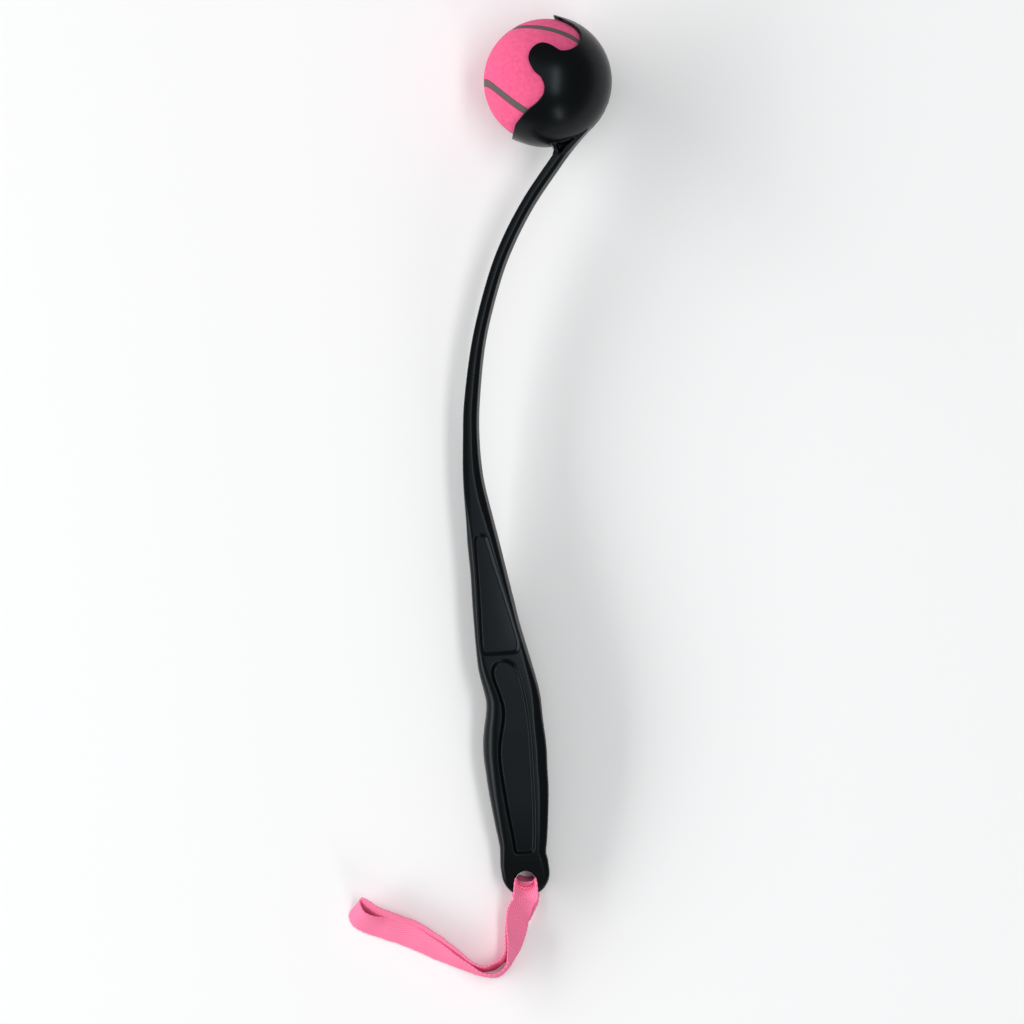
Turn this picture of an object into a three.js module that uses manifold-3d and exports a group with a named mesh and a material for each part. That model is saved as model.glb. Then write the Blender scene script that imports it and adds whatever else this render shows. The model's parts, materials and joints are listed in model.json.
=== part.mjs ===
// A dog ball thrower lying on its side: a one-piece plastic launcher with its ball and wrist strap.
// Millimetres, +Z up. The launcher is first drawn in its own plan, seen square on to its side:
// x runs across it, y runs along it towards the cup and z points out of its side, with the
// middle of the cup at zero. Then it is tipped until its cup and its grip both touch the floor.
import * as THREE from 'three';
import { mergeVertices } from 'three/addons/utils/BufferGeometryUtils.js';
import Module from 'manifold-3d';

const wasm = await Module();
wasm.setup();

// Ball
const BALL_DIAMETER = 65;
const FELT_THICKNESS = 2;
const CORE_WALL = 3.3;
const SEAM_WIDTH = 1.8;
const SEAM_SINK = 0.4;
const BALL_TURN_DEGREES = [97, 62, 32];

// Cup
const BALL_CLEARANCE = 0.5;
const CUP_WALL = 1.4;
const RIM_WALL = 1.1;
const MOUTH_DEGREES = 161.5;

// Arm: the shaft and the handle
const ARM_LENGTH = 383.3;
const BOW = 45;
const SHAFT_WIDTH = 7.2;
const SHAFT_THICKNESS = 15;
const HANDLE_WIDTH = 33;
const GRIP_END_THICKNESS = 22.6;
const LEFT_ROUND = 5.5;
const RIGHT_ROUND = 4.5;
const END_ROUND = 4;

// Neck between the shaft and the cup
const NECK_THICKNESS = 22;
const NECK_RECESS = 3.2;

// Pockets in the handle's two sides
const UPPER_INSET = 3.7;
const UPPER_ROUND = 2.2;
const UPPER_DEPTH = 1.4;
const LOWER_INSET = 7.8;
const LOWER_TOP_ROUND = 6.4;
const LOWER_END_ROUND = 1.4;
const LOWER_DEPTH = 2;

// Tab and eye at the tail
const TAB_RADIUS = 12.5;
const TAB_THICKNESS = 12;
const TAB_EDGE = 1.6;
const TAB_NECK_WIDTH = 23.6;
const EYE_RADIUS = 5.6;
const EYE_RIM = 2.2;

// Wrist strap
const STRAP_WIDTH = 15;
const STRAP_THICKNESS = 1.1;
const STRAP_REACH = 92;
const STITCH_INSET = 2;
const THREAD = 0.7;

// Gap kept between neighbours that are cut or turned, and the overrun of cutting shapes
const GAP = 0.3;
const OVERRUN = 1;

// Counts
const CUP_RINGS = 10;
const RIM_STEPS = 36;
const STEPS_PER_ROW = 3;
const ROUND_STEPS = 4;
const FELT_STEPS = 40;
const FELT_COLUMNS = 8;
const SEAM_STEPS = 72;
const CORE_SIDES = 28;
const CORE_STEPS = 7;
const STRAP_STEPS_PER_ROW = 2;
const STRAP_COLUMNS = 4;
const EYE_SIDES = 28;

// Worked-out sizes
const BALL_RADIUS = BALL_DIAMETER / 2;
const CUP_INNER = BALL_RADIUS + BALL_CLEARANCE;
const CUP_OUTER = CUP_INNER + CUP_WALL;
const MOUTH = THREE.MathUtils.degToRad(MOUTH_DEGREES);
const NECK_ALONG_SHARE = 1.195;
const NECK_ACROSS_SHARE = 0.175;
const NECK_ALONG = CUP_OUTER * NECK_ALONG_SHARE;
const NECK_ACROSS = CUP_OUTER * NECK_ACROSS_SHARE;
const TAIL_ALONG = NECK_ALONG + ARM_LENGTH;
const TAB_ALONG = TAIL_ALONG - TAB_RADIUS;
const TAB_BOW_SHARE = 0.369;
const TAB_ACROSS = NECK_ACROSS - BOW * TAB_BOW_SHARE;
const EYE_ALONG = TAIL_ALONG - EYE_RIM - EYE_RADIUS;

// The grip's end, the place where it is thickest and the place where it starts to swell
const GRIP_END_SHARE = 0.93;
const GRIP_SWELL_SHARE = 0.775;
const SWELL_START_SHARE = 0.36;
const GRIP_END = NECK_ALONG + ARM_LENGTH * GRIP_END_SHARE;
const GRIP_SWELL = NECK_ALONG + ARM_LENGTH * GRIP_SWELL_SHARE;
const SWELL_START = NECK_ALONG + ARM_LENGTH * SWELL_START_SHARE;

// The tip that lets the cup and the end of the grip touch one floor
const TIP = Math.atan2(GRIP_END, GRIP_END_THICKNESS / 2)
  - Math.acos(CUP_OUTER / Math.hypot(GRIP_END, GRIP_END_THICKNESS / 2));

function solidOf(geometry) {
  const bare = geometry.clone();
  bare.deleteAttribute('normal');
  bare.deleteAttribute('uv');
  const merged = mergeVertices(bare);
  return new wasm.Manifold(new wasm.Mesh({
    numProp: 3,
    vertProperties: new Float32Array(merged.attributes.position.array),
    triVerts: new Uint32Array(merged.index.array),
  }));
}

function geometryOf(solid) {
  const mesh = solid.getMesh();
  const geometry = new THREE.BufferGeometry();
  geometry.setAttribute('position', new THREE.BufferAttribute(new Float32Array(mesh.vertProperties), 3));
  geometry.setIndex(new THREE.BufferAttribute(new Uint32Array(mesh.triVerts), 1));
  return geometry;
}

// A closed surface, with all its faces turned to point out.
function surface(points, faces) {
  let volume = 0;
  for (let i = 0; i < faces.length; i += 3) {
    const [a, b, c] = [points[faces[i]], points[faces[i + 1]], points[faces[i + 2]]];
    volume += a.dot(new THREE.Vector3().crossVectors(b, c));
  }
  const geometry = new THREE.BufferGeometry();
  geometry.setAttribute('position', new THREE.Float32BufferAttribute(points.flatMap((p) => p.toArray()), 3));
  geometry.setIndex(volume < 0 ? [...faces].reverse() : faces);
  return geometry;
}

// The triangles that close a ring of the arm, whose second half mirrors its first.
function ringFaces(count) {
  const mirrored = (i) => (count - i) % count;
  const end = count / 2;
  const faces = [[0, 1, mirrored(1)], [end - 1, end, end + 1]];
  for (let i = 1; i + 1 < end; i += 1) {
    faces.push([i, i + 1, mirrored(i + 1)], [i, mirrored(i + 1), mirrored(i)]);
  }
  return faces;
}

// A solid through a row of rings with equally many points. A closed row has no end faces.
function loft(rings, closed = false) {
  const count = rings[0].length;
  const faces = [];
  const spans = closed ? rings.length : rings.length - 1;
  for (let i = 0; i < spans; i += 1) {
    const here = i * count;
    const next = ((i + 1) % rings.length) * count;
    for (let j = 0; j < count; j += 1) {
      const k = (j + 1) % count;
      faces.push(here + j, here + k, next + k, here + j, next + k, next + j);
    }
  }
  if (!closed) {
    const last = (rings.length - 1) * count;
    ringFaces(count).forEach(([a, b, c]) => faces.push(a, c, b, last + a, last + b, last + c));
  }
  return surface(rings.flat(), faces);
}

function smoothStep(value) {
  return THREE.MathUtils.smootherstep(value, 0, 1);
}

// Half the launcher's thickness at a place along it. From its thickest place to its end the
// grip's side lies in the floor, and past the end it rounds off to the tab.
function floorHalf(along) {
  return CUP_OUTER / Math.cos(TIP) - along * Math.tan(TIP);
}

function halfThickness(along) {
  if (along < NECK_ALONG) {
    return SHAFT_THICKNESS / 2;
  }
  if (along < GRIP_SWELL) {
    const swell = smoothStep((along - SWELL_START) / (GRIP_SWELL - SWELL_START));
    return SHAFT_THICKNESS / 2 + (floorHalf(GRIP_SWELL) - SHAFT_THICKNESS / 2) * swell;
  }
  const past = Math.min(1, Math.max(0, (along - GRIP_END) / END_ROUND));
  return TAB_THICKNESS / 2 + (floorHalf(along) - TAB_THICKNESS / 2) * Math.sqrt(1 - past * past);
}

// How far the section is from the handle's flat sides: 1 on the shaft, whose two sides
// slope down from a ridge, and 0 on the handle.
const RIDGE_END_SHARE = 0.5;
const RIDGE_DROP_SHARE = 0.34;
const RIDGE_PLACE_SHARE = 0.62;
const RIDGE_MIDDLE_SHARE = 0.5;

function ridgeDrop(along) {
  const end = NECK_ALONG + ARM_LENGTH * RIDGE_END_SHARE;
  return RIDGE_DROP_SHARE * (1 - smoothStep((along - SWELL_START) / (end - SWELL_START)));
}

function ridgePlace(along) {
  const gone = smoothStep((along - NECK_ALONG) / (SWELL_START - NECK_ALONG));
  return RIDGE_PLACE_SHARE + (RIDGE_MIDDLE_SHARE - RIDGE_PLACE_SHARE) * gone;
}

// The arm's rows: share of its length, share of its bow, and how far its left and right
// edges lie from its centre line, as shares of the shaft's or the handle's width.
const SHAFT_SHARES = [
  [0, 0, 0.5, 0.47],
  [0.055, 0.319, 0.49, 0.48],
  [0.109, 0.561, 0.5, 0.49],
  [0.163, 0.735, 0.5, 0.49],
  [0.244, 0.904, 0.52, 0.49],
  [0.326, 0.987, 0.58, 0.56],
  [0.38, 1, 0.6, 0.62],
  [0.434, 0.97, 0.77, 0.73],
];
const HANDLE_SHARES = [
  [0.488, 0.902, 0.216, 0.216],
  [0.517, 0.86, 0.254, 0.246],
  [0.558, 0.802, 0.285, 0.285],
  [0.597, 0.747, 0.331, 0.322],
  [0.637, 0.691, 0.371, 0.362],
  [0.678, 0.632, 0.406, 0.424],
  [0.697, 0.608, 0.398, 0.457],
  [0.715, 0.586, 0.372, 0.486],
  [0.733, 0.564, 0.359, 0.502],
  [0.749, 0.547, 0.389, 0.502],
  [0.764, 0.531, 0.434, 0.498],
  [0.783, 0.513, 0.478, 0.504],
  [0.804, 0.494, 0.498, 0.505],
  [0.827, 0.474, 0.49, 0.488],
  [0.858, 0.449, 0.469, 0.473],
  [0.897, 0.418, 0.423, 0.423],
  [0.924, 0.398, 0.382, 0.382],
  [0.937, 0.39, 0.362, 0.362],
];

function armCurves() {
  const rows = [
    ...SHAFT_SHARES.map(([a, b, l, r]) => [a, b, l * SHAFT_WIDTH, r * SHAFT_WIDTH]),
    ...HANDLE_SHARES.map(([a, b, l, r]) => [a, b, l * HANDLE_WIDTH, r * HANDLE_WIDTH]),
  ];
  const centre = rows.map(([a, b]) => (
    new THREE.Vector2(NECK_ACROSS - BOW * b, -(NECK_ALONG + ARM_LENGTH * a))
  ));
  const edges = rows.map(([, , left, right]) => new THREE.Vector2(left, right));
  return { centre: new THREE.SplineCurve(centre), edges: new THREE.SplineCurve(edges), spans: rows.length - 1 };
}

const ARM = armCurves();

// A place on the arm, with its direction across and its two edge distances. A share of 0 is
// the first row, at the neck, and 1 the last.
function armPlace(share) {
  const point = ARM.centre.getPoint(share);
  const tangent = ARM.centre.getTangent(share);
  const across = new THREE.Vector2(-tangent.y, tangent.x);
  const edges = ARM.edges.getPoint(share);
  return { point, across, left: edges.x, right: edges.y };
}

// One ring of the arm between a left and a right point, thickest on its ridge.
function ring(left, right, half, drop, ridge, leftRound, rightRound) {
  const width = left.distanceTo(right);
  const across = right.clone().sub(left).divideScalar(width);
  const upper = [];
  for (let i = 0; i <= ROUND_STEPS; i += 1) {
    const angle = (Math.PI / 2) * (i / ROUND_STEPS);
    upper.push([leftRound * (1 - Math.cos(angle)), Math.sin(angle)]);
  }
  upper.push([width * ridge, 1]);
  for (let i = ROUND_STEPS; i >= 0; i -= 1) {
    const angle = (Math.PI / 2) * (i / ROUND_STEPS);
    upper.push([width - rightRound * (1 - Math.cos(angle)), Math.sin(angle)]);
  }
  const place = ([u, v], side) => {
    const point = left.clone().addScaledVector(across, u);
    const away = Math.abs(u / width - ridge) / Math.max(ridge, 1 - ridge);
    return new THREE.Vector3(point.x, point.y, side * v * half(-point.y) * (1 - drop * away));
  };
  const top = upper.map((p) => place(p, 1));
  const bottom = upper.slice(1, -1).reverse().map((p) => place(p, -1));
  return [...top, ...bottom];
}

// How much of the way from an edge to the ridge its rounding may take
const ROUND_LIMIT_SHARE = 0.9;

function armRing(share) {
  const { point, across, left, right } = armPlace(share);
  const along = -point.y;
  const ridge = ridgePlace(along);
  const limit = (left + right) * ROUND_LIMIT_SHARE;
  return ring(
    point.clone().addScaledVector(across, -left),
    point.clone().addScaledVector(across, right),
    halfThickness,
    ridgeDrop(along),
    ridge,
    Math.min(LEFT_ROUND, limit * ridge),
    Math.min(RIGHT_ROUND, limit * (1 - ridge)),
  );
}

function armStretch(from, to) {
  const rings = [];
  const steps = Math.round((to - from) * ARM.spans * STEPS_PER_ROW);
  for (let i = 0; i <= steps; i += 1) {
    rings.push(armRing(from + (to - from) * (i / steps)));
  }
  return loft(rings);
}

// Cup: every point lies in some direction from the ball's middle. The wall is round behind
// the ball's middle and straight in front of it, so that the ball can leave.
const MOUTH_AXIS = new THREE.Vector3(Math.cos(MOUTH), Math.sin(MOUTH), 0);
const CROSS_AXIS = new THREE.Vector3(Math.sin(MOUTH), -Math.cos(MOUTH), 0);
const SIDE_AXIS = new THREE.Vector3(0, 0, 1);
const CUP_POLE_DEGREES = 18;

// The rim in side view: shares of the cup's radius towards the mouth and across it,
// from the top lip over the lobe to the bottom lip.
const RIM_SHARES = [
  [0.216, 1],
  [0.165, 0.974],
  [0.033, 0.963],
  [-0.158, 0.916],
  [-0.256, 0.845],
  [-0.298, 0.763],
  [-0.289, 0.647],
  [-0.205, 0.539],
  [-0.097, 0.478],
  [0.005, 0.472],
  [0.088, 0.502],
  [0.216, 0.506],
  [0.31, 0.446],
  [0.367, 0.332],
  [0.361, 0.205],
  [0.292, 0.108],
  [0.184, 0.023],
  [0.093, -0.011],
  [0.021, -0.082],
  [-0.023, -0.164],
  [-0.027, -0.274],
  [0.025, -0.405],
  [0.122, -0.548],
  [0.193, -0.717],
  [0.227, -0.808],
  [0.227, -0.893],
  [0.218, -1],
];

function rimDirections() {
  const curve = new THREE.SplineCurve(RIM_SHARES.map(([m, n]) => new THREE.Vector2(m, n)));
  const fine = curve.getPoints(RIM_SHARES.length * STEPS_PER_ROW * 2).map(({ x, y }) => {
    const behind = Math.min(0, x);
    const side = Math.sqrt(Math.max(0, 1 - behind * behind - y * y));
    return new THREE.Vector3(x, y, side).normalize();
  });
  const half = new THREE.CatmullRomCurve3(fine).getSpacedPoints(RIM_STEPS).map((d) => d.normalize());
  const other = half.slice(1, -1).reverse().map((d) => new THREE.Vector3(d.x, d.y, -d.z));
  return [...half, ...other];
}

function wallPoint(direction, atMouth, outside) {
  const ahead = Math.max(0, direction.x);
  const thin = smoothStep(ahead / atMouth);
  const wall = outside ? CUP_WALL + (RIM_WALL - CUP_WALL) * thin : 0;
  const reach = (CUP_INNER + wall) / Math.sqrt(1 - ahead * ahead);
  return new THREE.Vector3()
    .addScaledVector(MOUTH_AXIS, direction.x * reach)
    .addScaledVector(CROSS_AXIS, direction.y * reach)
    .addScaledVector(SIDE_AXIS, direction.z * reach);
}

function cupShell() {
  const rim = rimDirections();
  const lean = THREE.MathUtils.degToRad(CUP_POLE_DEGREES);
  const pole = new THREE.Vector3(-Math.cos(lean), -Math.sin(lean), 0);
  const atMouth = Math.max(...rim.map((d) => d.x));
  const rows = [];
  for (let i = 1; i <= CUP_RINGS; i += 1) {
    rows.push(rim.map((edge) => {
      const angle = pole.angleTo(edge);
      const share = i / CUP_RINGS;
      return pole.clone().multiplyScalar(Math.sin(angle * (1 - share)))
        .addScaledVector(edge, Math.sin(angle * share)).normalize();
    }));
  }
  const points = [];
  const faces = [];
  const count = rim.length;
  [true, false].forEach((outside) => {
    const start = points.length;
    points.push(wallPoint(pole, atMouth, outside));
    rows.forEach((row) => row.forEach((d) => points.push(wallPoint(d, atMouth, outside))));
    const turn = (a, b, c) => faces.push(...(outside ? [a, b, c] : [a, c, b]));
    for (let j = 0; j < count; j += 1) {
      const k = (j + 1) % count;
      turn(start, start + 1 + k, start + 1 + j);
      for (let i = 0; i + 1 < CUP_RINGS; i += 1) {
        const near = start + 1 + i * count;
        const far = near + count;
        turn(near + j, near + k, far + k);
        turn(near + j, far + k, far + j);
      }
    }
  });
  const outerRim = 1 + (CUP_RINGS - 1) * count;
  const innerRim = outerRim + 1 + CUP_RINGS * count;
  for (let j = 0; j < count; j += 1) {
    const k = (j + 1) % count;
    faces.push(outerRim + j, outerRim + k, innerRim + k, outerRim + j, innerRim + k, innerRim + j);
  }
  return surface(points, faces);
}

// Neck: rows of a left and a right point, as shares of the cup's radius, and of its thickness.
const NECK_SHARES = [
  [0.099, 1.1, 0.394, 1.063, 0.42],
  [0.114, 1.025, 0.515, 0.912, 0.66],
  [0.06, 0.934, 0.666, 0.738, 1],
  [0.06, 0.85, 0.74, 0.62, 1],
];
const RECESS_SHARES = [[0.165, 0.965], [0.385, 0.955], [0.22, 1.1]];
const RECESS_HALF_SHARE = 0.3;
const NECK_ROUND_SHARE = 0.12;

function neck() {
  const first = armRing(0);
  const rings = [first];
  NECK_SHARES.forEach(([lx, ly, rx, ry, thick]) => {
    const left = new THREE.Vector2(lx, -ly).multiplyScalar(CUP_OUTER);
    const right = new THREE.Vector2(rx, -ry).multiplyScalar(CUP_OUTER);
    const round = left.distanceTo(right) * NECK_ROUND_SHARE;
    const half = (SHAFT_THICKNESS + (NECK_THICKNESS - SHAFT_THICKNESS) * thick) / 2;
    rings.push(ring(left, right, () => half, RIDGE_DROP_SHARE, RIDGE_PLACE_SHARE, round, round));
  });
  return loft(rings.reverse());
}

function neckRecess(side) {
  const shape = new THREE.Shape(RECESS_SHARES.map(([x, y]) => new THREE.Vector2(x * CUP_OUTER, -y * CUP_OUTER)));
  const cut = new THREE.ExtrudeGeometry(shape, { depth: NECK_THICKNESS, bevelEnabled: false });
  const floor = NECK_THICKNESS * RECESS_HALF_SHARE - NECK_RECESS;
  cut.translate(0, 0, side > 0 ? floor : -floor - NECK_THICKNESS);
  return cut;
}

function cup() {
  const trim = new THREE.SphereGeometry(CUP_INNER + RIM_WALL / 2, 2 * EYE_SIDES, EYE_SIDES);
  const carved = solidOf(neck())
    .subtract(solidOf(neckRecess(1)))
    .subtract(solidOf(neckRecess(-1)))
    .subtract(solidOf(trim));
  return geometryOf(solidOf(cupShell()).add(carved));
}

// A pocket's outline: the handle's edges set in by its inset, with rounded corners that
// leave a straight piece at each end.
const CORNER_LIMIT_SHARE = 0.85;

function pocketOutline(from, to, inset, startRound, endRound) {
  const left = [];
  const right = [];
  const steps = Math.round((to - from) * ARM.spans * STEPS_PER_ROW * 2);
  const start = armPlace(from);
  const end = armPlace(to);
  const limit = (place, round) => Math.min(round, ((place.left + place.right) / 2 - inset) * CORNER_LIMIT_SHARE);
  const startCorner = limit(start, startRound);
  const endCorner = limit(end, endRound);
  const corner = (r, x) => r - Math.sqrt(Math.max(0, r * r - (r - x) * (r - x)));
  for (let i = 0; i <= steps; i += 1) {
    const eased = (1 - Math.cos(Math.PI * (i / steps))) / 2;
    const place = armPlace(from + (to - from) * eased);
    const fromStart = Math.min(startCorner, place.point.distanceTo(start.point));
    const toEnd = Math.min(endCorner, place.point.distanceTo(end.point));
    const pull = inset + corner(startCorner, fromStart) + corner(endCorner, toEnd);
    left.push(place.point.clone().addScaledVector(place.across, pull - place.left));
    right.push(place.point.clone().addScaledVector(place.across, place.right - pull));
  }
  return [...left, ...right.reverse()];
}

// A cutter over a pocket's outline, with its floor as deep as the pocket everywhere.
function pocketCutter(outline, depth, side) {
  const cut = new THREE.ExtrudeGeometry(new THREE.Shape(outline), { depth: 1, bevelEnabled: false });
  const places = cut.attributes.position;
  for (let i = 0; i < places.count; i += 1) {
    const half = halfThickness(-places.getY(i));
    const inner = half - depth;
    const outer = half + OVERRUN;
    const high = places.getZ(i) > 0.5;
    places.setZ(i, side > 0 ? (high ? outer : inner) : (high ? -inner : -outer));
  }
  return cut;
}

const UPPER_POCKET_SHARES = [0.362, 0.508];
const LOWER_POCKET_SHARES = [0.526, 0.968];

function pockets() {
  const upper = pocketOutline(...UPPER_POCKET_SHARES, UPPER_INSET, UPPER_ROUND, UPPER_ROUND);
  const lower = pocketOutline(...LOWER_POCKET_SHARES, LOWER_INSET, LOWER_TOP_ROUND, LOWER_END_ROUND);
  return [1, -1].flatMap((side) => [
    pocketCutter(upper, UPPER_DEPTH, side),
    pocketCutter(lower, LOWER_DEPTH, side),
  ]);
}

// Tab: a plate with a round end and rounded edges, with the strap's eye through it.
function tab() {
  const shape = new THREE.Shape();
  const inner = TAB_RADIUS - TAB_EDGE;
  const neckHalf = TAB_NECK_WIDTH / 2 - TAB_EDGE;
  shape.moveTo(TAB_ACROSS - neckHalf, -GRIP_END);
  shape.lineTo(TAB_ACROSS - inner, -TAB_ALONG);
  shape.absarc(TAB_ACROSS, -TAB_ALONG, inner, Math.PI, 2 * Math.PI, false);
  shape.lineTo(TAB_ACROSS + neckHalf, -GRIP_END);
  const plate = new THREE.ExtrudeGeometry(shape, {
    depth: TAB_THICKNESS - 2 * TAB_EDGE,
    bevelThickness: TAB_EDGE,
    bevelSize: TAB_EDGE,
    bevelSegments: 2,
    curveSegments: EYE_SIDES / 2,
  });
  return plate.translate(0, 0, TAB_EDGE - TAB_THICKNESS / 2);
}

function eyeCutter() {
  const cut = new THREE.CylinderGeometry(EYE_RADIUS, EYE_RADIUS, TAB_THICKNESS + 2 * OVERRUN, EYE_SIDES);
  return cut.rotateX(Math.PI / 2).translate(TAB_ACROSS, -EYE_ALONG, 0);
}

const SHAFT_END_SHARE = 0.32;

// The tail: all that lies past the grip's end, as a block to cut with.
function tail() {
  const size = GRIP_END_THICKNESS * 2;
  const block = new THREE.BoxGeometry(size, size, size);
  return solidOf(block.translate(TAB_ACROSS, -(GRIP_END + END_ROUND) - size / 2, 0));
}

function gripAndTab() {
  let solid = solidOf(armStretch(SHAFT_END_SHARE, 1)).add(solidOf(tab()));
  pockets().forEach((cut) => {
    solid = solid.subtract(solidOf(cut));
  });
  return solid.subtract(solidOf(eyeCutter()));
}

// Ball: two rubber half shells, two felt panels and the seam between them.
const SEAM_LOOP_SHARE = 0.75;

function seamPoint(angle) {
  const a = SEAM_LOOP_SHARE;
  const b = 1 - SEAM_LOOP_SHARE;
  return new THREE.Vector3(
    a * Math.cos(angle) + b * Math.cos(3 * angle),
    a * Math.sin(angle) - b * Math.sin(3 * angle),
    2 * Math.sqrt(a * b) * Math.sin(2 * angle),
  ).normalize();
}

// The seam's point pushed along the ball's skin, away from the seam, by an arc in radians.
function besideSeam(angle, arc) {
  const step = Math.PI / 180;
  const here = seamPoint(angle);
  const along = seamPoint(angle + step).sub(seamPoint(angle - step)).normalize();
  const away = new THREE.Vector3().crossVectors(here, along).normalize();
  return here.multiplyScalar(Math.cos(arc)).addScaledVector(away, Math.sin(arc)).normalize();
}

function feltPanel(side) {
  const outer = BALL_RADIUS;
  const inner = BALL_RADIUS - FELT_THICKNESS + GAP / 2;
  const arc = (SEAM_WIDTH / 2) / BALL_RADIUS;
  const from = side > 0 ? -Math.PI / 4 : Math.PI / 4;
  const grid = [];
  for (let i = 0; i <= FELT_STEPS; i += 1) {
    const angle = from + Math.PI * (i / FELT_STEPS);
    const mirrored = 2 * from - angle;
    const a = besideSeam(angle, side * arc);
    const b = besideSeam(mirrored, side * arc);
    const row = [];
    for (let j = 0; j <= FELT_COLUMNS; j += 1) {
      row.push(a.clone().lerp(b, j / FELT_COLUMNS).normalize());
    }
    grid.push(row);
  }
  const points = [];
  const faces = [];
  const wide = FELT_COLUMNS + 1;
  const size = grid.length * wide;
  [outer, inner].forEach((r) => grid.forEach((row) => row.forEach((d) => points.push(d.clone().multiplyScalar(r)))));
  const quad = (a, b, c, d) => faces.push(a, b, c, a, c, d);
  for (let i = 0; i < FELT_STEPS; i += 1) {
    for (let j = 0; j < FELT_COLUMNS; j += 1) {
      const a = i * wide + j;
      quad(a, a + 1, a + 1 + wide, a + wide);
      quad(size + a, size + a + wide, size + a + 1 + wide, size + a + 1);
    }
    const left = i * wide;
    const right = left + FELT_COLUMNS;
    quad(left, left + wide, size + left + wide, size + left);
    quad(right, size + right, size + right + wide, right + wide);
  }
  return weld(surface(points, faces));
}

// Merges points that fall together and drops the faces that this closes up.
function weld(geometry) {
  const merged = mergeVertices(geometry, GAP / 100);
  const faces = [];
  const index = merged.index.array;
  for (let i = 0; i < index.length; i += 3) {
    const [a, b, c] = [index[i], index[i + 1], index[i + 2]];
    if (a !== b && b !== c && c !== a) {
      faces.push(a, b, c);
    }
  }
  merged.setIndex(faces);
  return merged;
}

function seamStrip() {
  const outer = BALL_RADIUS - SEAM_SINK;
  const inner = BALL_RADIUS - FELT_THICKNESS + GAP / 2;
  const arc = (SEAM_WIDTH / 2 - GAP) / BALL_RADIUS;
  const rings = [];
  for (let i = 0; i < SEAM_STEPS; i += 1) {
    const angle = 2 * Math.PI * (i / SEAM_STEPS);
    const a = besideSeam(angle, -arc);
    const b = besideSeam(angle, arc);
    rings.push([
      a.clone().multiplyScalar(outer),
      b.clone().multiplyScalar(outer),
      b.clone().multiplyScalar(inner),
      a.clone().multiplyScalar(inner),
    ]);
  }
  return loft(rings, true);
}

function coreHalf(side) {
  const outer = BALL_RADIUS - FELT_THICKNESS - GAP;
  const inner = outer - CORE_WALL;
  const lift = GAP / 2;
  const arc = (radius) => {
    const low = Math.asin(lift / radius);
    const points = [];
    for (let i = 0; i <= CORE_STEPS; i += 1) {
      const angle = low + (Math.PI / 2 - low) * (i / CORE_STEPS);
      points.push(new THREE.Vector2(radius * Math.cos(angle), radius * Math.sin(angle)));
    }
    points[CORE_STEPS].x = 0;
    return points;
  };
  const profile = [...arc(inner).reverse(), ...arc(outer)];
  const shell = new THREE.LatheGeometry(profile, CORE_SIDES);
  return shell.rotateX(side * Math.PI / 2);
}

// The middle of the eye once the launcher is tipped
function tipped(point) {
  return point.clone().applyAxisAngle(new THREE.Vector3(1, 0, 0), TIP).add(new THREE.Vector3(0, 0, CUP_OUTER));
}

const EYE_CENTRE = tipped(new THREE.Vector3(TAB_ACROSS, -EYE_ALONG, 0));
const EYE_STRAP_RADIUS = EYE_RADIUS - GAP - (STRAP_THICKNESS + TAB_THICKNESS * Math.sin(TIP)) / 2;

// Strap: rows of its two edges seen from above, from the middle of the eye, each with its
// height over the floor. They run from the front leg over the bight and back to the rear leg,
// and the first edge of a row is the one nearer the floor. The middle of a row is in shares of
// the strap's reach, and its edges lie beside that, and over the floor, in shares of its width
// times the row scale.
const STRAP_SHARES = [
  [0.046, -0.147, 0.163, -0.099, -0.147, 0.201],
  [0.025, -0.21, 0.103, -0.11, -0.21, 0.179],
  [0.011, -0.272, 0.06, -0.11, -0.272, 0.166],
  [-0.005, -0.32, 0.033, -0.105, -0.32, 0.161],
  [-0.027, -0.376, 0.015, -0.102, -0.376, 0.161],
  [-0.051, -0.418, 0.009, -0.103, -0.414, 0.163],
  [-0.096, -0.49, 0.009, -0.102, -0.475, 0.168],
  [-0.157, -0.54, 0.009, -0.16, -0.525, 0.17],
  [-0.247, -0.535, 0.009, -0.244, -0.522, 0.17],
  [-0.343, -0.504, 0.009, -0.324, -0.467, 0.165],
  [-0.428, -0.473, 0.009, -0.389, -0.422, 0.158],
  [-0.541, -0.43, 0.009, -0.485, -0.346, 0.136],
  [-0.683, -0.368, 0.009, -0.626, -0.252, 0.111],
  [-0.813, -0.325, 0.009, -0.762, -0.208, 0.11],
  [-0.915, -0.291, 0.009, -0.859, -0.199, 0.129],
  [-0.977, -0.254, 0.009, -0.915, -0.17, 0.133],
  [-1, -0.204, 0.009, -0.938, -0.113, 0.129],
  [-0.985, -0.165, 0.009, -0.924, -0.095, 0.143],
  [-0.95, -0.168, 0.009, -0.89, -0.108, 0.147],
  [-0.885, -0.21, 0.009, -0.832, -0.145, 0.147],
  [-0.785, -0.268, 0.009, -0.735, -0.181, 0.135],
  [-0.66, -0.328, 0.009, -0.599, -0.233, 0.125],
  [-0.517, -0.394, 0.009, -0.46, -0.325, 0.142],
  [-0.407, -0.435, 0.009, -0.366, -0.401, 0.158],
  [-0.324, -0.47, 0.009, -0.301, -0.458, 0.168],
  [-0.243, -0.502, 0.009, -0.236, -0.48, 0.168],
  [-0.178, -0.5, 0.009, -0.18, -0.462, 0.168],
  [-0.128, -0.455, 0.009, -0.14, -0.435, 0.168],
  [-0.076, -0.398, 0.007, -0.12, -0.391, 0.162],
  [-0.028, -0.311, 0.007, -0.118, -0.309, 0.143],
  [0.016, -0.22, 0.009, -0.115, -0.217, 0.098],
  [0.057, -0.141, 0.007, -0.093, -0.141, 0.043],
];
const ROW_SCALE_SHARE = 6.133;

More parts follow.
